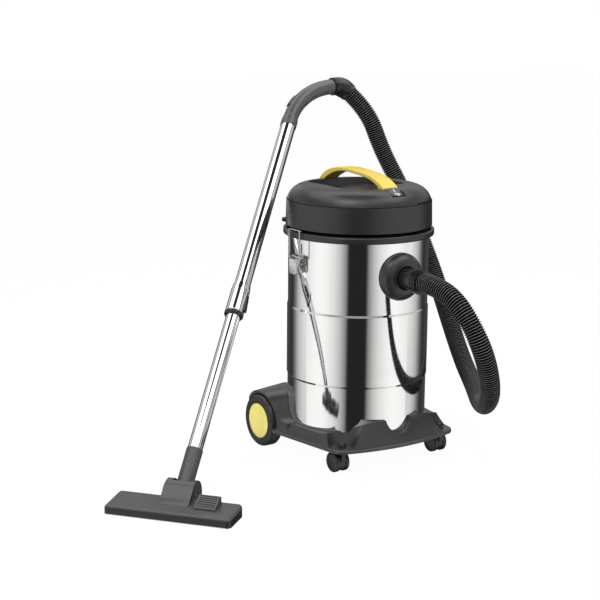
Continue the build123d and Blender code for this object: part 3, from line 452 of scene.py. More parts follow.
@dataclass(frozen=True)
class RibbedSkin(Finish):
    """Hose skin, flat black in its grooves as painted shade, paler and smoother on its crests as a
    painted highlight.
    """

    # The pale crest colour is a painted highlight.
    crest: Colour = (0.070, 0.070, 0.072)
    roughness: float = 0.24
    attribute: str = "rib_share"
    mottle_size: float = 0.04
    mottle_tints: Pair = (0.7, 1.3)
    mottle_rough: float = 0.10
    crest_edges: Pair = (0.65, 1.0)

    def surface(self, desk: Desk) -> Shade:
        """Hose shader.

        Args:
            desk: Desk of the material's tree.

        Returns:
            The shader's output.
        """
        share = desk.node("ShaderNodeAttribute", {"attribute_name": self.attribute})["Fac"]
        mottle = desk.noise(desk.object_place(), self.mottle_size, 3.0)
        colour = desk.tints(mottle, self.crest, self.mottle_tints)
        rough = mottle * self.mottle_rough + (self.roughness - 0.5 * self.mottle_rough)
        lit_crest = desk.principled(colour, rough)
        # Grooves get flat black as painted shade, and crests the pale painted highlight.
        sockets = {0: share.band(*self.crest_edges), 1: painted_shadow(desk), 2: lit_crest}
        return desk.node("ShaderNodeMixShader", {}, sockets)[0]


class Coat(Enum):
    """Named finishes of the vacuum."""

    STEEL = BrightMetal("drum_mirror_steel", (0.90, 0.90, 0.89), 0.06, seam=True)
    CHROME = BrightMetal("tube_chrome", (0.82, 0.83, 0.84), 0.05, wave_size=0.05, wave_depth=0.0001)
    ZINC = BrightMetal(
        "plated_steel", (0.66, 0.66, 0.65), 0.24, (1.0, 1.0, 1.0), 0.004, 0.02, 0.0001
    )
    ALUMINIUM = BrightMetal("fan_aluminium", (0.62, 0.63, 0.64), 0.38, (1.0, 1.0, 1.0), 0.003)
    # The two gaps are painted shade: the groove under the band and the seam under the dome.
    HEAD = MouldedPlastic(
        "head_plastic", (0.015, 0.015, 0.0155), 0.33, gaps=((0.5690, 0.5757), (0.6379, 0.6388))
    )
    BOSS = MouldedPlastic("boss_plastic", (0.020, 0.020, 0.0205), 0.33)
    TROLLEY = MouldedPlastic(
        "trolley_plastic", (0.034, 0.034, 0.0345), 0.30, scuff=0.5, dust_top=0.09
    )
    BLACK = MouldedPlastic("cuff_black", (0.011, 0.011, 0.0115), 0.24, 0.0009, 0.00001, 0.2)
    TYRE = MouldedPlastic(
        "tyre_plastic", (0.016, 0.016, 0.0165), 0.42, 0.0008, scuff=0.7, dust_top=0.06
    )
    CASTER = MouldedPlastic(
        "caster_plastic", (0.010, 0.010, 0.0105), 0.32, scuff=0.5, dust_top=0.03
    )
    GREY = MouldedPlastic("nozzle_grey", (0.047, 0.047, 0.048), 0.34)
    # The two lines are mould-line grooves darkened as painted shade.
    GREY_BAND = MouldedPlastic("grey_band", (0.014, 0.014, 0.0145), 0.32, lines=(0.0058, 0.0112))
    HANDLE = MouldedPlastic("handle_plastic", (0.062, 0.062, 0.063), 0.30, 0.0006, 0.00001)
    YELLOW = MouldedPlastic("handle_yellow", (0.66, 0.49, 0.07), 0.34, 0.0008, 0.00002, 0.15)
    PALE = MouldedPlastic("cap_yellow", (0.94, 0.80, 0.21), 0.40, 0.0008, 0.00002, 0.2)
    RUBBER = MouldedPlastic("rubber_black", (0.016, 0.016, 0.016), 0.62, 0.0012, 0.00005, 0.3)
    HOSE = RibbedSkin("hose_skin")
    ROCKER = MouldedPlastic("rocker_grey", (0.055, 0.055, 0.057), 0.36, 0.0008, 0.00001, 0.2)
    WHITE = MouldedPlastic("white_ink", (0.84, 0.84, 0.82), 0.45, 0.0008, 0.00001, 0.2)
    CLOTH = WovenCloth("bag_cloth")

    def material(self) -> bpy.types.Material:
        """Material of the finish."""
        return self.value.material()


def coated(**lists: str) -> Mapping[str, Coat]:
    """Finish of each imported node, from the node names listed under each finish."""
    return {node: Coat[coat] for coat, nodes in lists.items() for node in nodes.split()}


class Recipe:
    """Geometry Nodes tree with named inputs that turns a seed mesh into a plain mesh."""

    def __init__(self, name: str) -> None:
        """Start the tree with its geometry sockets.

        Args:
            name: Name of the tree.
        """
        self.tree = bpy.data.node_groups.new(name, "GeometryNodeTree")
        self.desk = Desk(self.tree)
        add = self.tree.interface.new_socket
        for side in ("INPUT", "OUTPUT"):
            add("Geometry", in_out=side, socket_type="NodeSocketGeometry")
        self.source = self.tree.nodes.new("NodeGroupInput")
        self.seed = Shade(self.desk, self.source.outputs["Geometry"])

    def size(self, label: str, kind: str = "NodeSocketFloat") -> Shade:
        """Value inside the tree of a new named input."""
        self.tree.interface.new_socket(label, in_out="INPUT", socket_type=kind)
        return Shade(self.desk, self.source.outputs[label])

    def close(self, geometry: Shade, smooth: bool = True) -> None:
        """End the tree in Realize Instances and Set Material.

        Args:
            geometry: Geometry to hand out.
            smooth: True for smooth shading.
        """
        finish = self.size("Finish", "NodeSocketMaterial")
        whole = self.desk.node("GeometryNodeRealizeInstances", {}, {"Geometry": geometry})[0]
        sockets = {"Geometry": whole, "Shade Smooth": smooth}
        shaded = self.desk.node("GeometryNodeSetShadeSmooth", {}, sockets)[0]
        sockets = {"Geometry": shaded, "Material": finish}
        dressed = self.desk.node("GeometryNodeSetMaterial", {}, sockets)[0]
        self.desk.node("NodeGroupOutput", {}, {"Geometry": dressed})

    def run(self, name: str, seed: bpy.types.Mesh, values: Mapping[str, Any]) -> Piece:
        """Run the tree on a seed mesh.

        Args:
            name: Name of the piece.
            seed: Mesh that the tree starts from.
            values: Value of each named input.

        Returns:
            Object with the plain mesh.
        """
        carrier = linked(name + "_seed", seed)
        modifier = carrier.modifiers.new("recipe", "NODES")
        modifier.node_group = self.tree
        for item in self.tree.interface.items_tree:
            if item.in_out == "INPUT" and item.name in values:
                modifier[item.identifier] = values[item.name]
        carrier.update_tag()
        bpy.context.view_layer.update()
        graph = bpy.context.evaluated_depsgraph_get()
        mesh = bpy.data.meshes.new_from_object(carrier.evaluated_get(graph), depsgraph=graph)
        bpy.data.objects.remove(carrier)
        bpy.data.meshes.remove(seed)
        mesh.name = name
        return linked(name, mesh)


def linked(name: str, data: bpy.types.ID) -> Piece:
    """Object at the origin in the scene's collection.

    Args:
        name: Name of the object.
        data: Mesh, curve, lamp or camera.

    Returns:
        The new object.
    """
    made = bpy.data.objects.new(name, data)
    bpy.context.scene.collection.objects.link(made)
    return made


def strand_mesh(name: str, lines: Sequence[Sequence[Vector]]) -> bpy.types.Mesh:
    """Mesh of open lines made of edges alone.

    Args:
        name: Name of the mesh.
        lines: Points of each line.

    Returns:
        The mesh.
    """
    points = []
    edges = []
    for line in lines:
        first = len(points)
        points.extend(line)
        edges.extend((first + step, first + step + 1) for step in range(len(line) - 1))
    mesh = bpy.data.meshes.new(name)
    mesh.from_pydata(points, edges, [])
    return mesh


def lofted(name: str, rings: Sequence[Sequence[Vector]], coat: Coat, capped: bool = True) -> Piece:
    """Closed tube of quads through rings of equal length.

    Args:
        name: Name of the piece.
        rings: Rings of points, in order.
        coat: Finish of the piece.
        capped: True to close both ends.

    Returns:
        The piece, with its faces turned outwards.
    """
    work = bmesh.new()
    rows = [[work.verts.new(point) for point in ring] for ring in rings]
    for low, high in zip(rows, rows[1:]):
        count = len(low)
        for step in range(count):
            after = (step + 1) % count
            work.faces.new((low[step], low[after], high[after], high[step]))
    if capped:
        work.faces.new(list(reversed(rows[0])))
        work.faces.new(rows[-1])
    bmesh.ops.remove_doubles(work, verts=work.verts, dist=MERGE)
    bmesh.ops.recalc_face_normals(work, faces=work.faces)
    mesh = bpy.data.meshes.new(name)
    work.to_mesh(mesh)
    work.free()
    mesh.shade_smooth()
    mesh.materials.append(coat.material())
    return linked(name, mesh)


class SubAssembly:
    """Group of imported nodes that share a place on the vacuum."""

    coats: Mapping[str, Coat] = {}

    def dress(self, nodes: Mapping[str, Piece]) -> None:
        """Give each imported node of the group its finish.

        Args:
            nodes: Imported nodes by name.
        """
        for name, coat in self.coats.items():
            mesh = nodes[name].data
            mesh.materials.clear()
            mesh.materials.append(coat.material())
            LOG.info("node %s: %s", name, coat.value.name)

    def build(self) -> list[Piece]:
        """Pieces that the group adds to its nodes."""
        return []

    @staticmethod
    def settle(piece: Piece, body: str, slot: str, replaced: Sequence[str] = ()) -> Piece:
        """Attach a piece to its body and hide the nodes that it stands for.

        Args:
            piece: Finished piece.
            body: Body that carries it.
            slot: Material slot of the record; not used.
            replaced: Nodes that it replaces.

        Returns:
            The same piece.
        """
        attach(piece, body)
        if replaced:
            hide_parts(*replaced)
        LOG.info("piece %s on %s", piece.name, body)
        return piece


@dataclass
class SuctionHose(SubAssembly):
    """Ribbed hose that hangs from the tank cuff to the swivel cuff."""

    radius: float = 0.024
    valley: float = 0.0210
    pitch: float = 0.0060
    steps: int = 8
    sides: int = 22
    length: float = 1.72
    smoothness: int = 24
    wave_swing: float = -0.80
    wave_middle: float = 0.36
    route: tuple[Point, ...] = (
        (0.0, -0.262, 0.470), (0.0, -0.334, 0.470), (0.012, -0.406, 0.420),
        (0.042, -0.442, 0.325), (0.092, -0.410, 0.224), (0.153, -0.320, 0.160),
        (0.220, -0.222, 0.138), (0.288, -0.120, 0.145), (0.342, -0.012, 0.175),
        (0.384, 0.088, 0.238), (0.408, 0.178, 0.335), (0.404, 0.250, 0.457),
        (0.370, 0.299, 0.592), (0.316, 0.334, 0.708), (0.2775, 0.3466, 0.8154),
        (0.2346, 0.3777, 0.8641),
    )

    def centreline(self) -> list[Vector]:
        """Points of the smooth line that the hose follows.

        Returns:
            Points read from the route's spline.
        """
        curve = bpy.data.curves.new("hose_route", "CURVE")
        curve.dimensions = "3D"
        curve.resolution_u = self.smoothness
        spline = curve.splines.new("NURBS")
        spline.points.add(len(self.route) - 1)
        for control, place in zip(spline.points, self.route):
            control.co = (*place, 1.0)
        spline.order_u = 3
        spline.use_endpoint_u = True
        carrier = linked("hose_route", curve)
        bpy.context.view_layer.update()
        line = bpy.data.meshes.new_from_object(carrier)
        points = [vertex.co.copy() for vertex in line.vertices]
        bpy.data.objects.remove(carrier)
        bpy.data.meshes.remove(line)
        return points

    def recipe(self) -> Recipe:
        """Tree that sweeps a ribbed skin along a line.

        Returns:
            The tree.
        """
        made = Recipe("hose_ribs")
        desk = made.desk
        pitch = made.size("Rib pitch")
        steps = made.size("Steps per rib", "NodeSocketInt")
        crest = made.size("Crest radius")
        valley = made.size("Valley radius")
        sides = made.size("Sides", "NodeSocketInt")
        path = desk.node("GeometryNodeMeshToCurve", {}, {"Mesh": made.seed})[0]
        length = desk.node("GeometryNodeCurveLength", {}, {"Curve": path})["Length"]
        ribs = (length / pitch).math("ROUND")
        count = ribs * steps + 1
        even = desk.node("GeometryNodeResampleCurve", {}, {"Curve": path, "Count": count})[0]
        index = desk.node("GeometryNodeInputIndex")["Index"]
        turn = index * (2 * math.pi) / steps
        wave = turn.math("COSINE") * self.wave_swing + self.wave_middle
        share = wave.math("MAXIMUM", 0.0).math("MINIMUM", 1.0)
        radius = valley + (crest - valley) * share
        sockets = {"Geometry": even, "Name": Coat.HOSE.value.attribute, "Value": share}
        marked = desk.node("GeometryNodeStoreNamedAttribute", {}, sockets)[0]
        ring = desk.node("GeometryNodeCurvePrimitiveCircle", {}, {"Resolution": sides})[0]
        sockets = {"Curve": marked, "Profile Curve": ring, "Scale": radius, "Fill Caps": True}
        made.close(desk.node("GeometryNodeCurveToMesh", {}, sockets)[0])
        return made

    def build(self) -> list[Piece]:
        """Hose as one ribbed piece.

        Returns:
            The hose.
        """
        line = self.centreline()
        values = {
            "Rib pitch": self.pitch,
            "Steps per rib": self.steps,
            "Crest radius": self.radius,
            "Valley radius": self.valley,
            "Sides": self.sides,
            "Finish": Coat.HOSE.material(),
        }
        piece = self.recipe().run("suction_hose", strand_mesh("hose_line", [line]), values)
        self.settle(piece, "tank", "black_plastic", ["hose"])
        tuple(self.route[0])
        [tuple(point) for point in line]
        return [piece]


@dataclass
class Tank(SubAssembly):
    """Drum with its inlet and the cloth filter under the head."""

    coats = coated(
        STEEL="drum",
        BOSS="inlet_boss",
        RUBBER="inlet_gasket",
        BLACK="inlet_deflector tank_cuff",
        GREY="filter_frame",
        ZINC="latch_bracket_left latch_bracket_right latch_lever_left latch_lever_right"
        " latch_bail_left latch_bail_right latch_rivets",
    )
    bag_rim: float = 0.538
    bag_depth: float = 0.070
    bag_throat: float = 0.1488
    bag_bottom: float = 0.080
    bag_seat: float = 0.1665
    bag_wall: float = 0.0012
    bag_lift: float = 0.0002
    bag_eyes: Pair = (0.004, 0.003)
    bag_dish: Pair = (0.0004, 0.0006)
    bag_corner: float = 0.004
    bag_sag: float = 0.003
    bag_neck: float = 0.003
    side_shares: tuple[float, ...] = (0.2, 0.4, 0.6, 0.8, 0.92)
    folds: int = 22
    fold_depth: float = 0.0022
    corner_folds: Pair = (0.3, 0.6)
    neck_fold: float = 0.1
    drifts: tuple[tuple[float, int, float], ...] = ((0.35, 3, 0.7), (0.2, 5, 0.0))
    drift_reach: float = 3.0
    around: int = 264
    cut_spare: float = 1.03
    cut_share: float = 1.4

    def bag_ring(self, radius: float, height: float, fold: float) -> list[Vector]:
        """Ring of the bag, drawn into folds.

        Args:
            radius: Mean radius.
            height: Height of the ring.
            fold: Depth of the folds there.

        Returns:
            Points of the ring.
        """
        ring = []
        for step in range(self.around):
            turn = 2 * math.pi * step / self.around
            drift = sum(size * math.sin(n * turn + lead) for size, n, lead in self.drifts)
            inward = 0.5 + 0.5 * math.sin(self.folds * turn + drift * self.drift_reach)
            reach = radius - fold * inward
            ring.append(Vector((reach * math.cos(turn), reach * math.sin(turn), height)))
        return ring

    def build(self) -> list[Piece]:
        """Cloth bag of the filter.

        Returns:
            The bag.
        """
        low = self.bag_rim - self.bag_depth
        top = self.bag_rim + self.bag_lift
        corner = self.bag_corner
        outer = [
            (self.bag_eyes[0], low, 0.0),
            (0.5 * self.bag_bottom, low + self.bag_dish[0], 0.0),
            (self.bag_bottom - corner, low + self.bag_dish[1], self.corner_folds[0]),
            (self.bag_bottom, low + corner, self.corner_folds[1]),
        ]
        for share in self.side_shares:
            slack = math.sin(math.pi * share)
            radius = self.bag_bottom + share * (self.bag_throat - self.bag_bottom)
            radius -= self.bag_sag * slack
            outer.append((radius, low + corner + share * (self.bag_depth - 2 * corner), slack))
        outer += [
            (self.bag_throat, self.bag_rim - self.bag_neck, self.neck_fold),
            (self.bag_throat, top, 0.0),
            (self.bag_seat, top, 0.0),
        ]
        depth = self.fold_depth
        rings = [self.bag_ring(radius, height, fold * depth) for radius, height, fold in outer]
        for radius, height, fold in reversed(outer):
            inner = max(self.bag_eyes[1], radius - self.bag_wall)
            inner = radius if radius == self.bag_seat else inner
            rings.append(self.bag_ring(inner, height + self.bag_wall, fold * depth))
        piece = lofted("filter_cloth_bag", rings, Coat.CLOTH)
        self.settle(piece, "tank", "filter_cloth", ["filter_bag"])
        return [piece]


@dataclass
class Trolley(SubAssembly):
    """Moulded base with rear wheels, casters and fasteners."""

    coats = coated(
        TROLLEY="trolley_base",
        ZINC="rear_axle axle_clips base_screws caster_stems",
        TYRE="rear_wheel_left rear_wheel_right",
        PALE="wheel_cap_left wheel_cap_right",
        CASTER="caster_nuts caster_hood_left caster_hood_right caster_wheels_left"
        " caster_wheels_right caster_axle_left caster_axle_right",
    )


@dataclass
class Head(SubAssembly):
    """Motor head with dome, carry handle and the marked switch."""

    coats = coated(
        HEAD="head_housing head_dome",
        YELLOW="carry_handle",
        RUBBER="rim_seal motor_mount",
        BLACK="cord_gland switch_bezel float_cup",
        ROCKER="switch_rocker",
        ZINC="motor_can fan_shaft",
        ALUMINIUM="fan_impeller",
        GREY="float_cage",
    )
    switch_y: float = -0.148
    switch_z: float = 0.6685
    switch_tilt: float = 30.0
    face_middle: float = -0.0012
    face_slopes: Pair = (0.296, 0.136)
    mark_place: float = 0.0078
    mark_size: float = 0.0052
    mark_stroke: float = 0.0011
    mark_steps: int = 40

    def on_rocker(self, x: float, y: float) -> Vector:
        """Point on the rocker's face, whose two halves slope up from the middle.

        Args:
            x: Distance across the switch.
            y: Distance up the dome's slope.

        Returns:
            The point in the shared frame.
        """
        height = self.face_middle + abs(y) * self.face_slopes[y > 0]
        turn = Matrix.Rotation(math.radians(self.switch_tilt), 4, "X")
        return turn @ Vector((x, y, height)) + Vector((0.0, self.switch_y, self.switch_z))

    def build(self) -> list[Piece]:
        """On and off marks on the rocker.

        Returns:
            The marks.
        """
        ring = []
        for step in range(self.mark_steps + 1):
            turn = 2 * math.pi * step / self.mark_steps
            up = self.mark_size * math.sin(turn) - self.mark_place
            ring.append(self.on_rocker(self.mark_size * math.cos(turn), up))
        heights = [self.mark_place + side * self.mark_size for side in (-1.0, 0.0, 1.0)]
        bar = [self.on_rocker(0.0, up) for up in heights]
        piece = ridge_recipe().run(
            "switch_marks",
            strand_mesh("mark_lines", [ring, bar]),
            {"Ridge radius": self.mark_stroke, "Sides": SIDES, "Finish": Coat.WHITE.material()},
        )
        return [self.settle(piece, "rocker", "grey_plastic")]


def ridge_recipe() -> Recipe:
    """Tree that lays a round ridge along each line of edges.

    Returns:
        The tree.
    """
    made = Recipe("round_ridges")
    desk = made.desk
    radius = made.size("Ridge radius")
    sides = made.size("Sides", "NodeSocketInt")
    path = desk.node("GeometryNodeMeshToCurve", {}, {"Mesh": made.seed})[0]
    sockets = {"Resolution": sides, "Radius": radius}
    ring = desk.node("GeometryNodeCurvePrimitiveCircle", {}, sockets)[0]
    sockets = {"Curve": path, "Profile Curve": ring, "Fill Caps": True}
    made.close(desk.node("GeometryNodeCurveToMesh", {}, sockets)[0])
    return made


@dataclass
class Wand(SubAssembly):
    """Telescopic tube with the bent handle and the swivel cuff."""

    coats = coated(
        CHROME="lower_tube upper_tube tube_sleeve",
        BLACK="tube_ring tube_lock guide_bush",
        HANDLE="bent_handle",
        GREY="suction_slider nozzle_neck",
        CASTER="swivel_cuff",
    )
    axis: Point = (0.5509, 0.4492, 0.7034)
    end: Point = (0.0157, 0.3382, 0.8022)
    bend: float = 0.213
    turn: float = 54.0
    grip: float = 0.0200
    ridges: int = 11
    ridge_radius: float = 0.0007
    ridge_spread: float = 100.0
    ridge_from: float = 0.40
    ridge_length: float = 0.56
    ridge_steps: int = 28
    collar_sides: int = 64
    collar_profile: tuple[Pair, ...] = (
        (-0.0100, 0.0189), (-0.0100, 0.0197), (-0.0060, 0.0203), (0.0000, 0.0211),
        (0.0050, 0.0215), (0.0195, 0.0217), (0.0226, 0.0214), (0.0238, 0.0207),
        (0.0238, 0.02005), (0.0002, 0.02005), (0.0002, 0.0189),
    )

    def collar(self) -> Piece:
        """Socket collar of the handle, round the upper end of the tube.

        Returns:
            The collar.
        """
        ahead = Vector(self.axis).normalized()
        side = ahead.orthogonal().normalized()
        across = ahead.cross(side)
        turns = [2 * math.pi * step / self.collar_sides for step in range(self.collar_sides)]
        rings = []
        for down, reach in (*self.collar_profile, self.collar_profile[0]):
            middle = Vector(self.end) - ahead * down
            spokes = (side * math.cos(turn) + across * math.sin(turn) for turn in turns)
            rings.append([middle + spoke * reach for spoke in spokes])
        piece = lofted("handle_collar", rings, Coat.HANDLE, capped=False)
        return self.settle(piece, "wand", "grey_plastic")

    def handle_point(self, share: float, around: float) -> Vector:
        """Point on the handle's skin.

        Args:
            share: Place along the bend, from 0 to 1.
            around: Angle round the section in degrees, 0 on the inside of the bend.

        Returns:
            The point.
        """
        ahead = Vector(self.axis).normalized()
        side = (Vector((1.0, 0.0, 0.0)) - ahead * ahead.x).normalized()
        across = ahead.cross(side)
        angle = math.radians(self.turn) * share
        inward = side * math.cos(angle) - ahead * math.sin(angle)
        middle = Vector(self.end) + side * self.bend - inward * self.bend
        spin = math.radians(around)
        return middle + (inward * math.cos(spin) + across * math.sin(spin)) * self.grip

    def build(self) -> list[Piece]:
        """Grip ridges along the inside of the handle, and its collar.

        Returns:
            The ridges and the collar.
        """
        steps = range(self.ridge_steps + 1)
        shares = [self.ridge_from + self.ridge_length * step / self.ridge_steps for step in steps]
        lines = []
        for ridge in range(self.ridges):
            around = self.ridge_spread * (ridge / (self.ridges - 1) - 0.5)
            lines.append([self.handle_point(share, around) for share in shares])
        piece = ridge_recipe().run(
            "handle_grip_ridges",
            strand_mesh("grip_lines", lines),
            {"Ridge radius": self.ridge_radius, "Sides": SIDES, "Finish": Coat.HANDLE.material()},
        )
        return [self.settle(piece, "wand", "dark_plastic"), self.collar()]


@dataclass
class FloorNozzle(SubAssembly):
    """Floor nozzle with a bristle strip that drops below its sole."""

    coats = coated(
        GREY_BAND="nozzle_band",
        GREY="nozzle_shell nozzle_pedal",
        ZINC="nozzle_sole nozzle_pins",
    )
    place: Pair = (-0.6634, -0.2157)
    heading: float = -50.8
    brush_back: float = 0.062
    brush_half: float = 0.117
    holder_half: float = 0.0034
    holder_low: float = 0.0050
    holder_high: float = 0.0120
    tip: float = 0.0006
    tufts: int = 96
    rows: int = 4
    strand: float = 0.00038
    strand_taper: float = 0.6
    row_gap: float = 0.0011
    first_tuft: float = 0.25
    lean: float = 0.10
    spin: float = 1.5
    draw: int = 7
    holder_inset: float = 0.0006
    holder_chamfer: float = 0.0008
    panel_crease: float = 40.0
    panel_half: float = 0.0353
    panel_round: float = 0.0010
    panel_profile: tuple[Pair, ...] = (
        (0.0400, 0.0225), (0.0400, 0.0250), (0.0440, 0.0263), (0.0500, 0.0296),
        (0.0560, 0.0346), (0.0620, 0.0409), (0.0680, 0.0476), (0.0730, 0.0532),
        (0.0773, 0.0576), (0.0773, 0.0520), (0.0700, 0.0440), (0.0620, 0.0350),
        (0.0520, 0.0270), (0.0460, 0.0225),
    )

    def panel(self) -> Piece:
        """Sloping panel that runs from the hood's barrel down to the top of the nozzle.

        Returns:
            The panel.
        """
        count = len(self.panel_profile)
        middle = [sum(point[axis] for point in self.panel_profile) / count for axis in (0, 1)]
        rings = []
        for side, drawn in ((-1, self.panel_round), (-1, 0.0), (1, 0.0), (1, self.panel_round)):
            along = side * (self.panel_half - self.panel_round + drawn)
            ring = []
            for back, height in self.panel_profile:
                inward = Vector((middle[0] - back, middle[1] - height)).normalized() * drawn
                ring.append(self.spot(along, back + inward.x, height + inward.y))
            rings.append(ring)
        piece = lofted("hood_panel", rings, Coat.GREY)
        piece.data.set_sharp_from_angle(angle=math.radians(self.panel_crease))
        return self.settle(piece, "nozzle", "grey_plastic")

    def spot(self, along: float, back: float, height: float) -> Vector:
        """Point in the nozzle's frame, given in the shared frame.

        Args:
            along: Distance along the nozzle.
            back: Distance towards its back edge.
            height: Height above the floor.

        Returns:
            The point.
        """
        turn = math.radians(self.heading)
        x = self.place[0] + along * math.cos(turn) - back * math.sin(turn)
        y = self.place[1] + along * math.sin(turn) + back * math.cos(turn)
        return Vector((x, y, height))

    def recipe(self) -> Recipe:
        """Tree that sets one leaning bristle on each point.

        Returns:
            The tree.
        """
        made = Recipe("bristles")
        desk = made.desk
        length = made.size("Bristle length")
        radius = made.size("Bristle radius")
        seed = made.size("Seed", "NodeSocketInt")
        points = desk.node("GeometryNodeMeshToPoints", {}, {"Mesh": made.seed})[0]
        sockets = {
            "Vertices": 4,
            "Radius Top": radius * self.strand_taper,
            "Radius Bottom": radius,
            "Depth": length,
        }
        hair = desk.node("GeometryNodeMeshCone", {"fill_type": "NGON"}, sockets)[0]
        least = (math.pi - self.lean, -self.lean, 0.0)
        most = (math.pi + self.lean, self.lean, self.spin)
        sockets = {0: least, 1: most, "Seed": seed}
        tilt = desk.node("FunctionNodeRandomValue", {"data_type": "FLOAT_VECTOR"}, sockets)[0]
        sockets = {"Points": points, "Instance": hair, "Rotation": tilt}
        made.close(desk.node("GeometryNodeInstanceOnPoints", {}, sockets)[0], smooth=False)
        return made

    def build(self) -> list[Piece]:
        """Bristle strip, its holder and the hood's panel.

        Returns:
            The holder, the bristles and the panel.
        """
        points = []
        for row in range(self.rows):
            back = self.brush_back + self.row_gap * (row - 0.5 * (self.rows - 1))
            start = self.first_tuft + 0.5 * (row % 2)
            for tuft in range(self.tufts):
                along = self.brush_half * (2 * (tuft + start) / self.tufts - 1)
                points.append(self.spot(along, back, self.holder_low))
        seed = bpy.data.meshes.new("bristle_roots")
        seed.from_pydata(points, [], [])
        values = {
            "Bristle length": self.holder_low - self.tip,
            "Bristle radius": self.strand,
            "Seed": self.draw,
            "Finish": Coat.RUBBER.material(),
        }
        bristles = self.recipe().run("brush_bristles", seed, values)
        rings = []
        for height, inset in (
            (self.holder_low, self.holder_inset),
            (self.holder_low + self.holder_chamfer, 0.0),
            (self.holder_high - self.holder_chamfer, 0.0),
            (self.holder_high, self.holder_inset),
        ):
            half = self.brush_half - inset
            deep = self.holder_half - inset
            outline = ((-half, -deep), (half, -deep), (half, deep), (-half, deep))
            rings.append([self.spot(x, self.brush_back + y, height) for x, y in outline])
        holder = lofted("brush_holder", rings, Coat.BLACK)
        holder.data.shade_flat()
        self.settle(holder, "brush", "black_plastic", ["nozzle_brush"])
        self.settle(bristles, "brush", "soft_black", ["nozzle_brush"])
        return [holder, bristles, self.panel()]


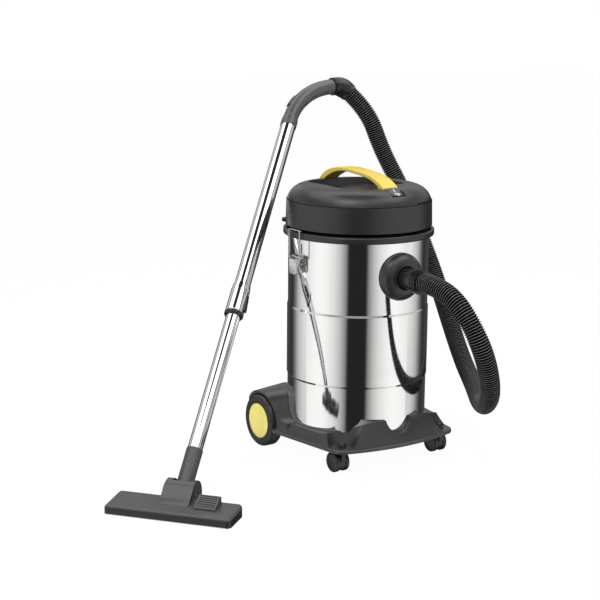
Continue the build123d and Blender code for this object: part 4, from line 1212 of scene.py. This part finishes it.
@dataclass
class Studio:
    """Camera, floor, surroundings and lamps."""

    lens: float = 85.8
    sensor: float = 36.0
    far_clip: float = 60.0
    eye: Point = (-2.0545, -2.8336, 1.1288)
    azimuth: float = -33.592
    pitch: float = 12.085
    roll: float = 0.43
    ambient: float = 0.62
    floor_half: float = 14.0
    floor_paint: Colour = (0.92, 0.92, 0.92)
    floor_glow: float = 0.975
    flag_turn: float = -2.7
    wall_stops: tuple[Pair, ...] = (
        (0.00, 0.07), (0.15, 0.03), (0.19, 0.07), (0.24, 0.21), (0.30, 0.46), (0.36, 0.63),
        (0.49, 0.87), (0.67, 1.03), (0.75, 1.04), (0.82, 0.98), (0.90, 0.80), (0.946, 0.56),
        (0.974, 0.27), (0.985, 0.018),
    )
    roof_stops: tuple[Pair, ...] = (
        (0.14, 0.50), (0.26, 0.55), (0.40, 0.80), (0.47, 0.35), (0.60, 0.35), (0.65, 1.10),
        (0.80, 2.00), (0.925, 2.40), (0.945, 0.03),
    )
    soft_boxes: tuple[tuple[Point, float], ...] = (
        ((-0.52, -0.30, 0.80), 5.0),
        ((0.47, -0.37, 0.80), 3.0),
    )
    box_edges: Pair = (0.95, 0.985)
    roof_edges: Pair = (0.08, 0.20)
    lamps: tuple[tuple[str, Point, Point, float, float], ...] = (
        ("key_soft_box", (-2.6, -1.6, 2.6), (-0.1, 0.0, 0.4), 1.6, 62.0),
        ("fill_soft_box", (2.4, -2.0, 2.0), (0.0, 0.0, 0.4), 1.6, 30.0),
        ("top_soft_box", (0.3, 0.6, 3.2), (0.0, 0.0, 0.5), 1.8, 40.0),
    )

    def camera(self) -> None:
        """Camera of the photograph."""
        turn = Matrix.Rotation(math.radians(self.azimuth), 4, "Z")
        rise = Matrix.Rotation(math.radians(90.0 - self.pitch), 4, "X")
        lean = Matrix.Rotation(math.radians(self.roll), 4, "Z")
        data = bpy.data.cameras.new("photo_camera")
        data.sensor_width = self.sensor
        data.lens = self.lens
        data.clip_end = self.far_clip
        made = linked("photo_camera", data)
        made.matrix_world = Matrix.Translation(self.eye) @ turn @ rise @ lean
        bpy.context.scene.camera = made

    def floor(self) -> None:
        """Pale floor that keeps a soft shadow and can be looked through from below."""
        half = self.floor_half
        mesh = bpy.data.meshes.new("studio_floor")
        square = [(-half, -half, 0.0), (half, -half, 0.0), (half, half, 0.0), (-half, half, 0.0)]
        mesh.from_pydata(square, [], [(0, 1, 2, 3)])
        material = bpy.data.materials.new("studio_floor")
        material.use_nodes = True
        desk = Desk(material.node_tree)
        path = desk.node("ShaderNodeLightPath")
        rays = path["Is Camera Ray"] + path["Is Glossy Ray"] + path["Is Transmission Ray"]
        seen = rays.math("MINIMUM", 1.0) * self.floor_glow
        paint = desk.node("ShaderNodeBsdfDiffuse", {}, {"Color": solid(self.floor_paint)})["BSDF"]
        glow = desk.node("ShaderNodeEmission", {}, {"Color": solid(WHITE)})["Emission"]
        top = desk.node("ShaderNodeMixShader", {}, {0: seen, 1: paint, 2: glow})[0]
        clear = desk.node("ShaderNodeBsdfTransparent")["BSDF"]
        below = desk.node("ShaderNodeNewGeometry")["Backfacing"]
        both = desk.node("ShaderNodeMixShader", {}, {0: below, 1: top, 2: clear})[0]
        desk.node("ShaderNodeOutputMaterial", {}, {"Surface": both})
        mesh.materials.append(material)
        made = linked("studio_floor", mesh)
        made.visible_glossy = False

    def surroundings(self) -> None:
        """White studio with soft boxes at the sides and dark flags between them."""
        world = bpy.data.worlds.new("studio")
        world.use_nodes = True
        bpy.context.scene.world = world
        desk = Desk(world.node_tree)
        path = desk.node("ShaderNodeLightPath")
        parts = desk.parts(desk.node("ShaderNodeTexCoord")["Generated"])
        turn = math.radians(self.azimuth + self.flag_turn)
        across = parts["X"] * math.cos(turn) + parts["Y"] * math.sin(turn)
        across = across / math.cos(math.radians(self.pitch))
        ahead = parts["X"] * math.sin(turn) - parts["Y"] * math.cos(turn)
        towards = (1.0 - across * across).math("MAXIMUM", 0.0) ** 0.5 * ahead.math("SIGN")
        sockets = {"Fac": towards * 0.5 + 0.5}
        walls = desk.node("ShaderNodeValToRGB", {"stops": self.wall_stops}, sockets)["Color"]
        sockets = {"Fac": parts["Z"]}
        above = desk.node("ShaderNodeValToRGB", {"stops": self.roof_stops}, sockets)["Color"]
        room = desk.mix(parts["Z"].band(*self.roof_edges), walls, above)
        for aim, power in self.soft_boxes:
            side = Vector(aim).normalized()
            facing = parts["X"] * side.x + parts["Y"] * side.y + parts["Z"] * side.z
            room = desk.mix(facing.band(*self.box_edges), room, (power, power, power))
        lit = desk.mix(path["Is Glossy Ray"], (self.ambient,) * 3, room)
        seen = (path["Is Camera Ray"] + path["Is Transmission Ray"]).math("MINIMUM", 1.0)
        sockets = {"Color": desk.mix(seen, lit, WHITE)}
        glow = desk.node("ShaderNodeBackground", {}, sockets)["Background"]
        desk.node("ShaderNodeOutputWorld", {}, {"Surface": glow})

    def lights(self) -> None:
        """Soft square lamps, each with its place, aim, size and power."""
        for name, place, aim, size, power in self.lamps:
            data = bpy.data.lights.new(name, "AREA")
            data.shape = "SQUARE"
            data.size = size
            data.energy = power
            made = linked(name, data)
            ahead = (Vector(aim) - Vector(place)).normalized()
            facing = ahead.to_track_quat("-Z", "Y").to_matrix().to_4x4()
            made.matrix_world = Matrix.Translation(place) @ facing
            made.visible_camera = False
            made.visible_glossy = False

    def build(self) -> None:
        """Set up camera, floor, surroundings and lamps."""
        bpy.context.scene.view_settings.view_transform = "Standard"
        self.camera()
        self.floor()
        self.surroundings()
        self.lights()


def main(frame: Mapping[str, Any]) -> None:
    """Build the studio and every sub-assembly in order.
    """
    logging.basicConfig(level=logging.INFO, format="%(name)s: %(message)s")
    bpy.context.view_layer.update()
    Studio().build()
    groups = (SuctionHose(), Tank(), Trolley(), Head(), Wand(), FloorNozzle())
    for group in groups:
        group.dress(frame["nodes"])
        for piece in group.build():
            LOG.info("%s has %d faces", piece.name, len(piece.data.polygons))


if __name__ == "__main__":
    main(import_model())
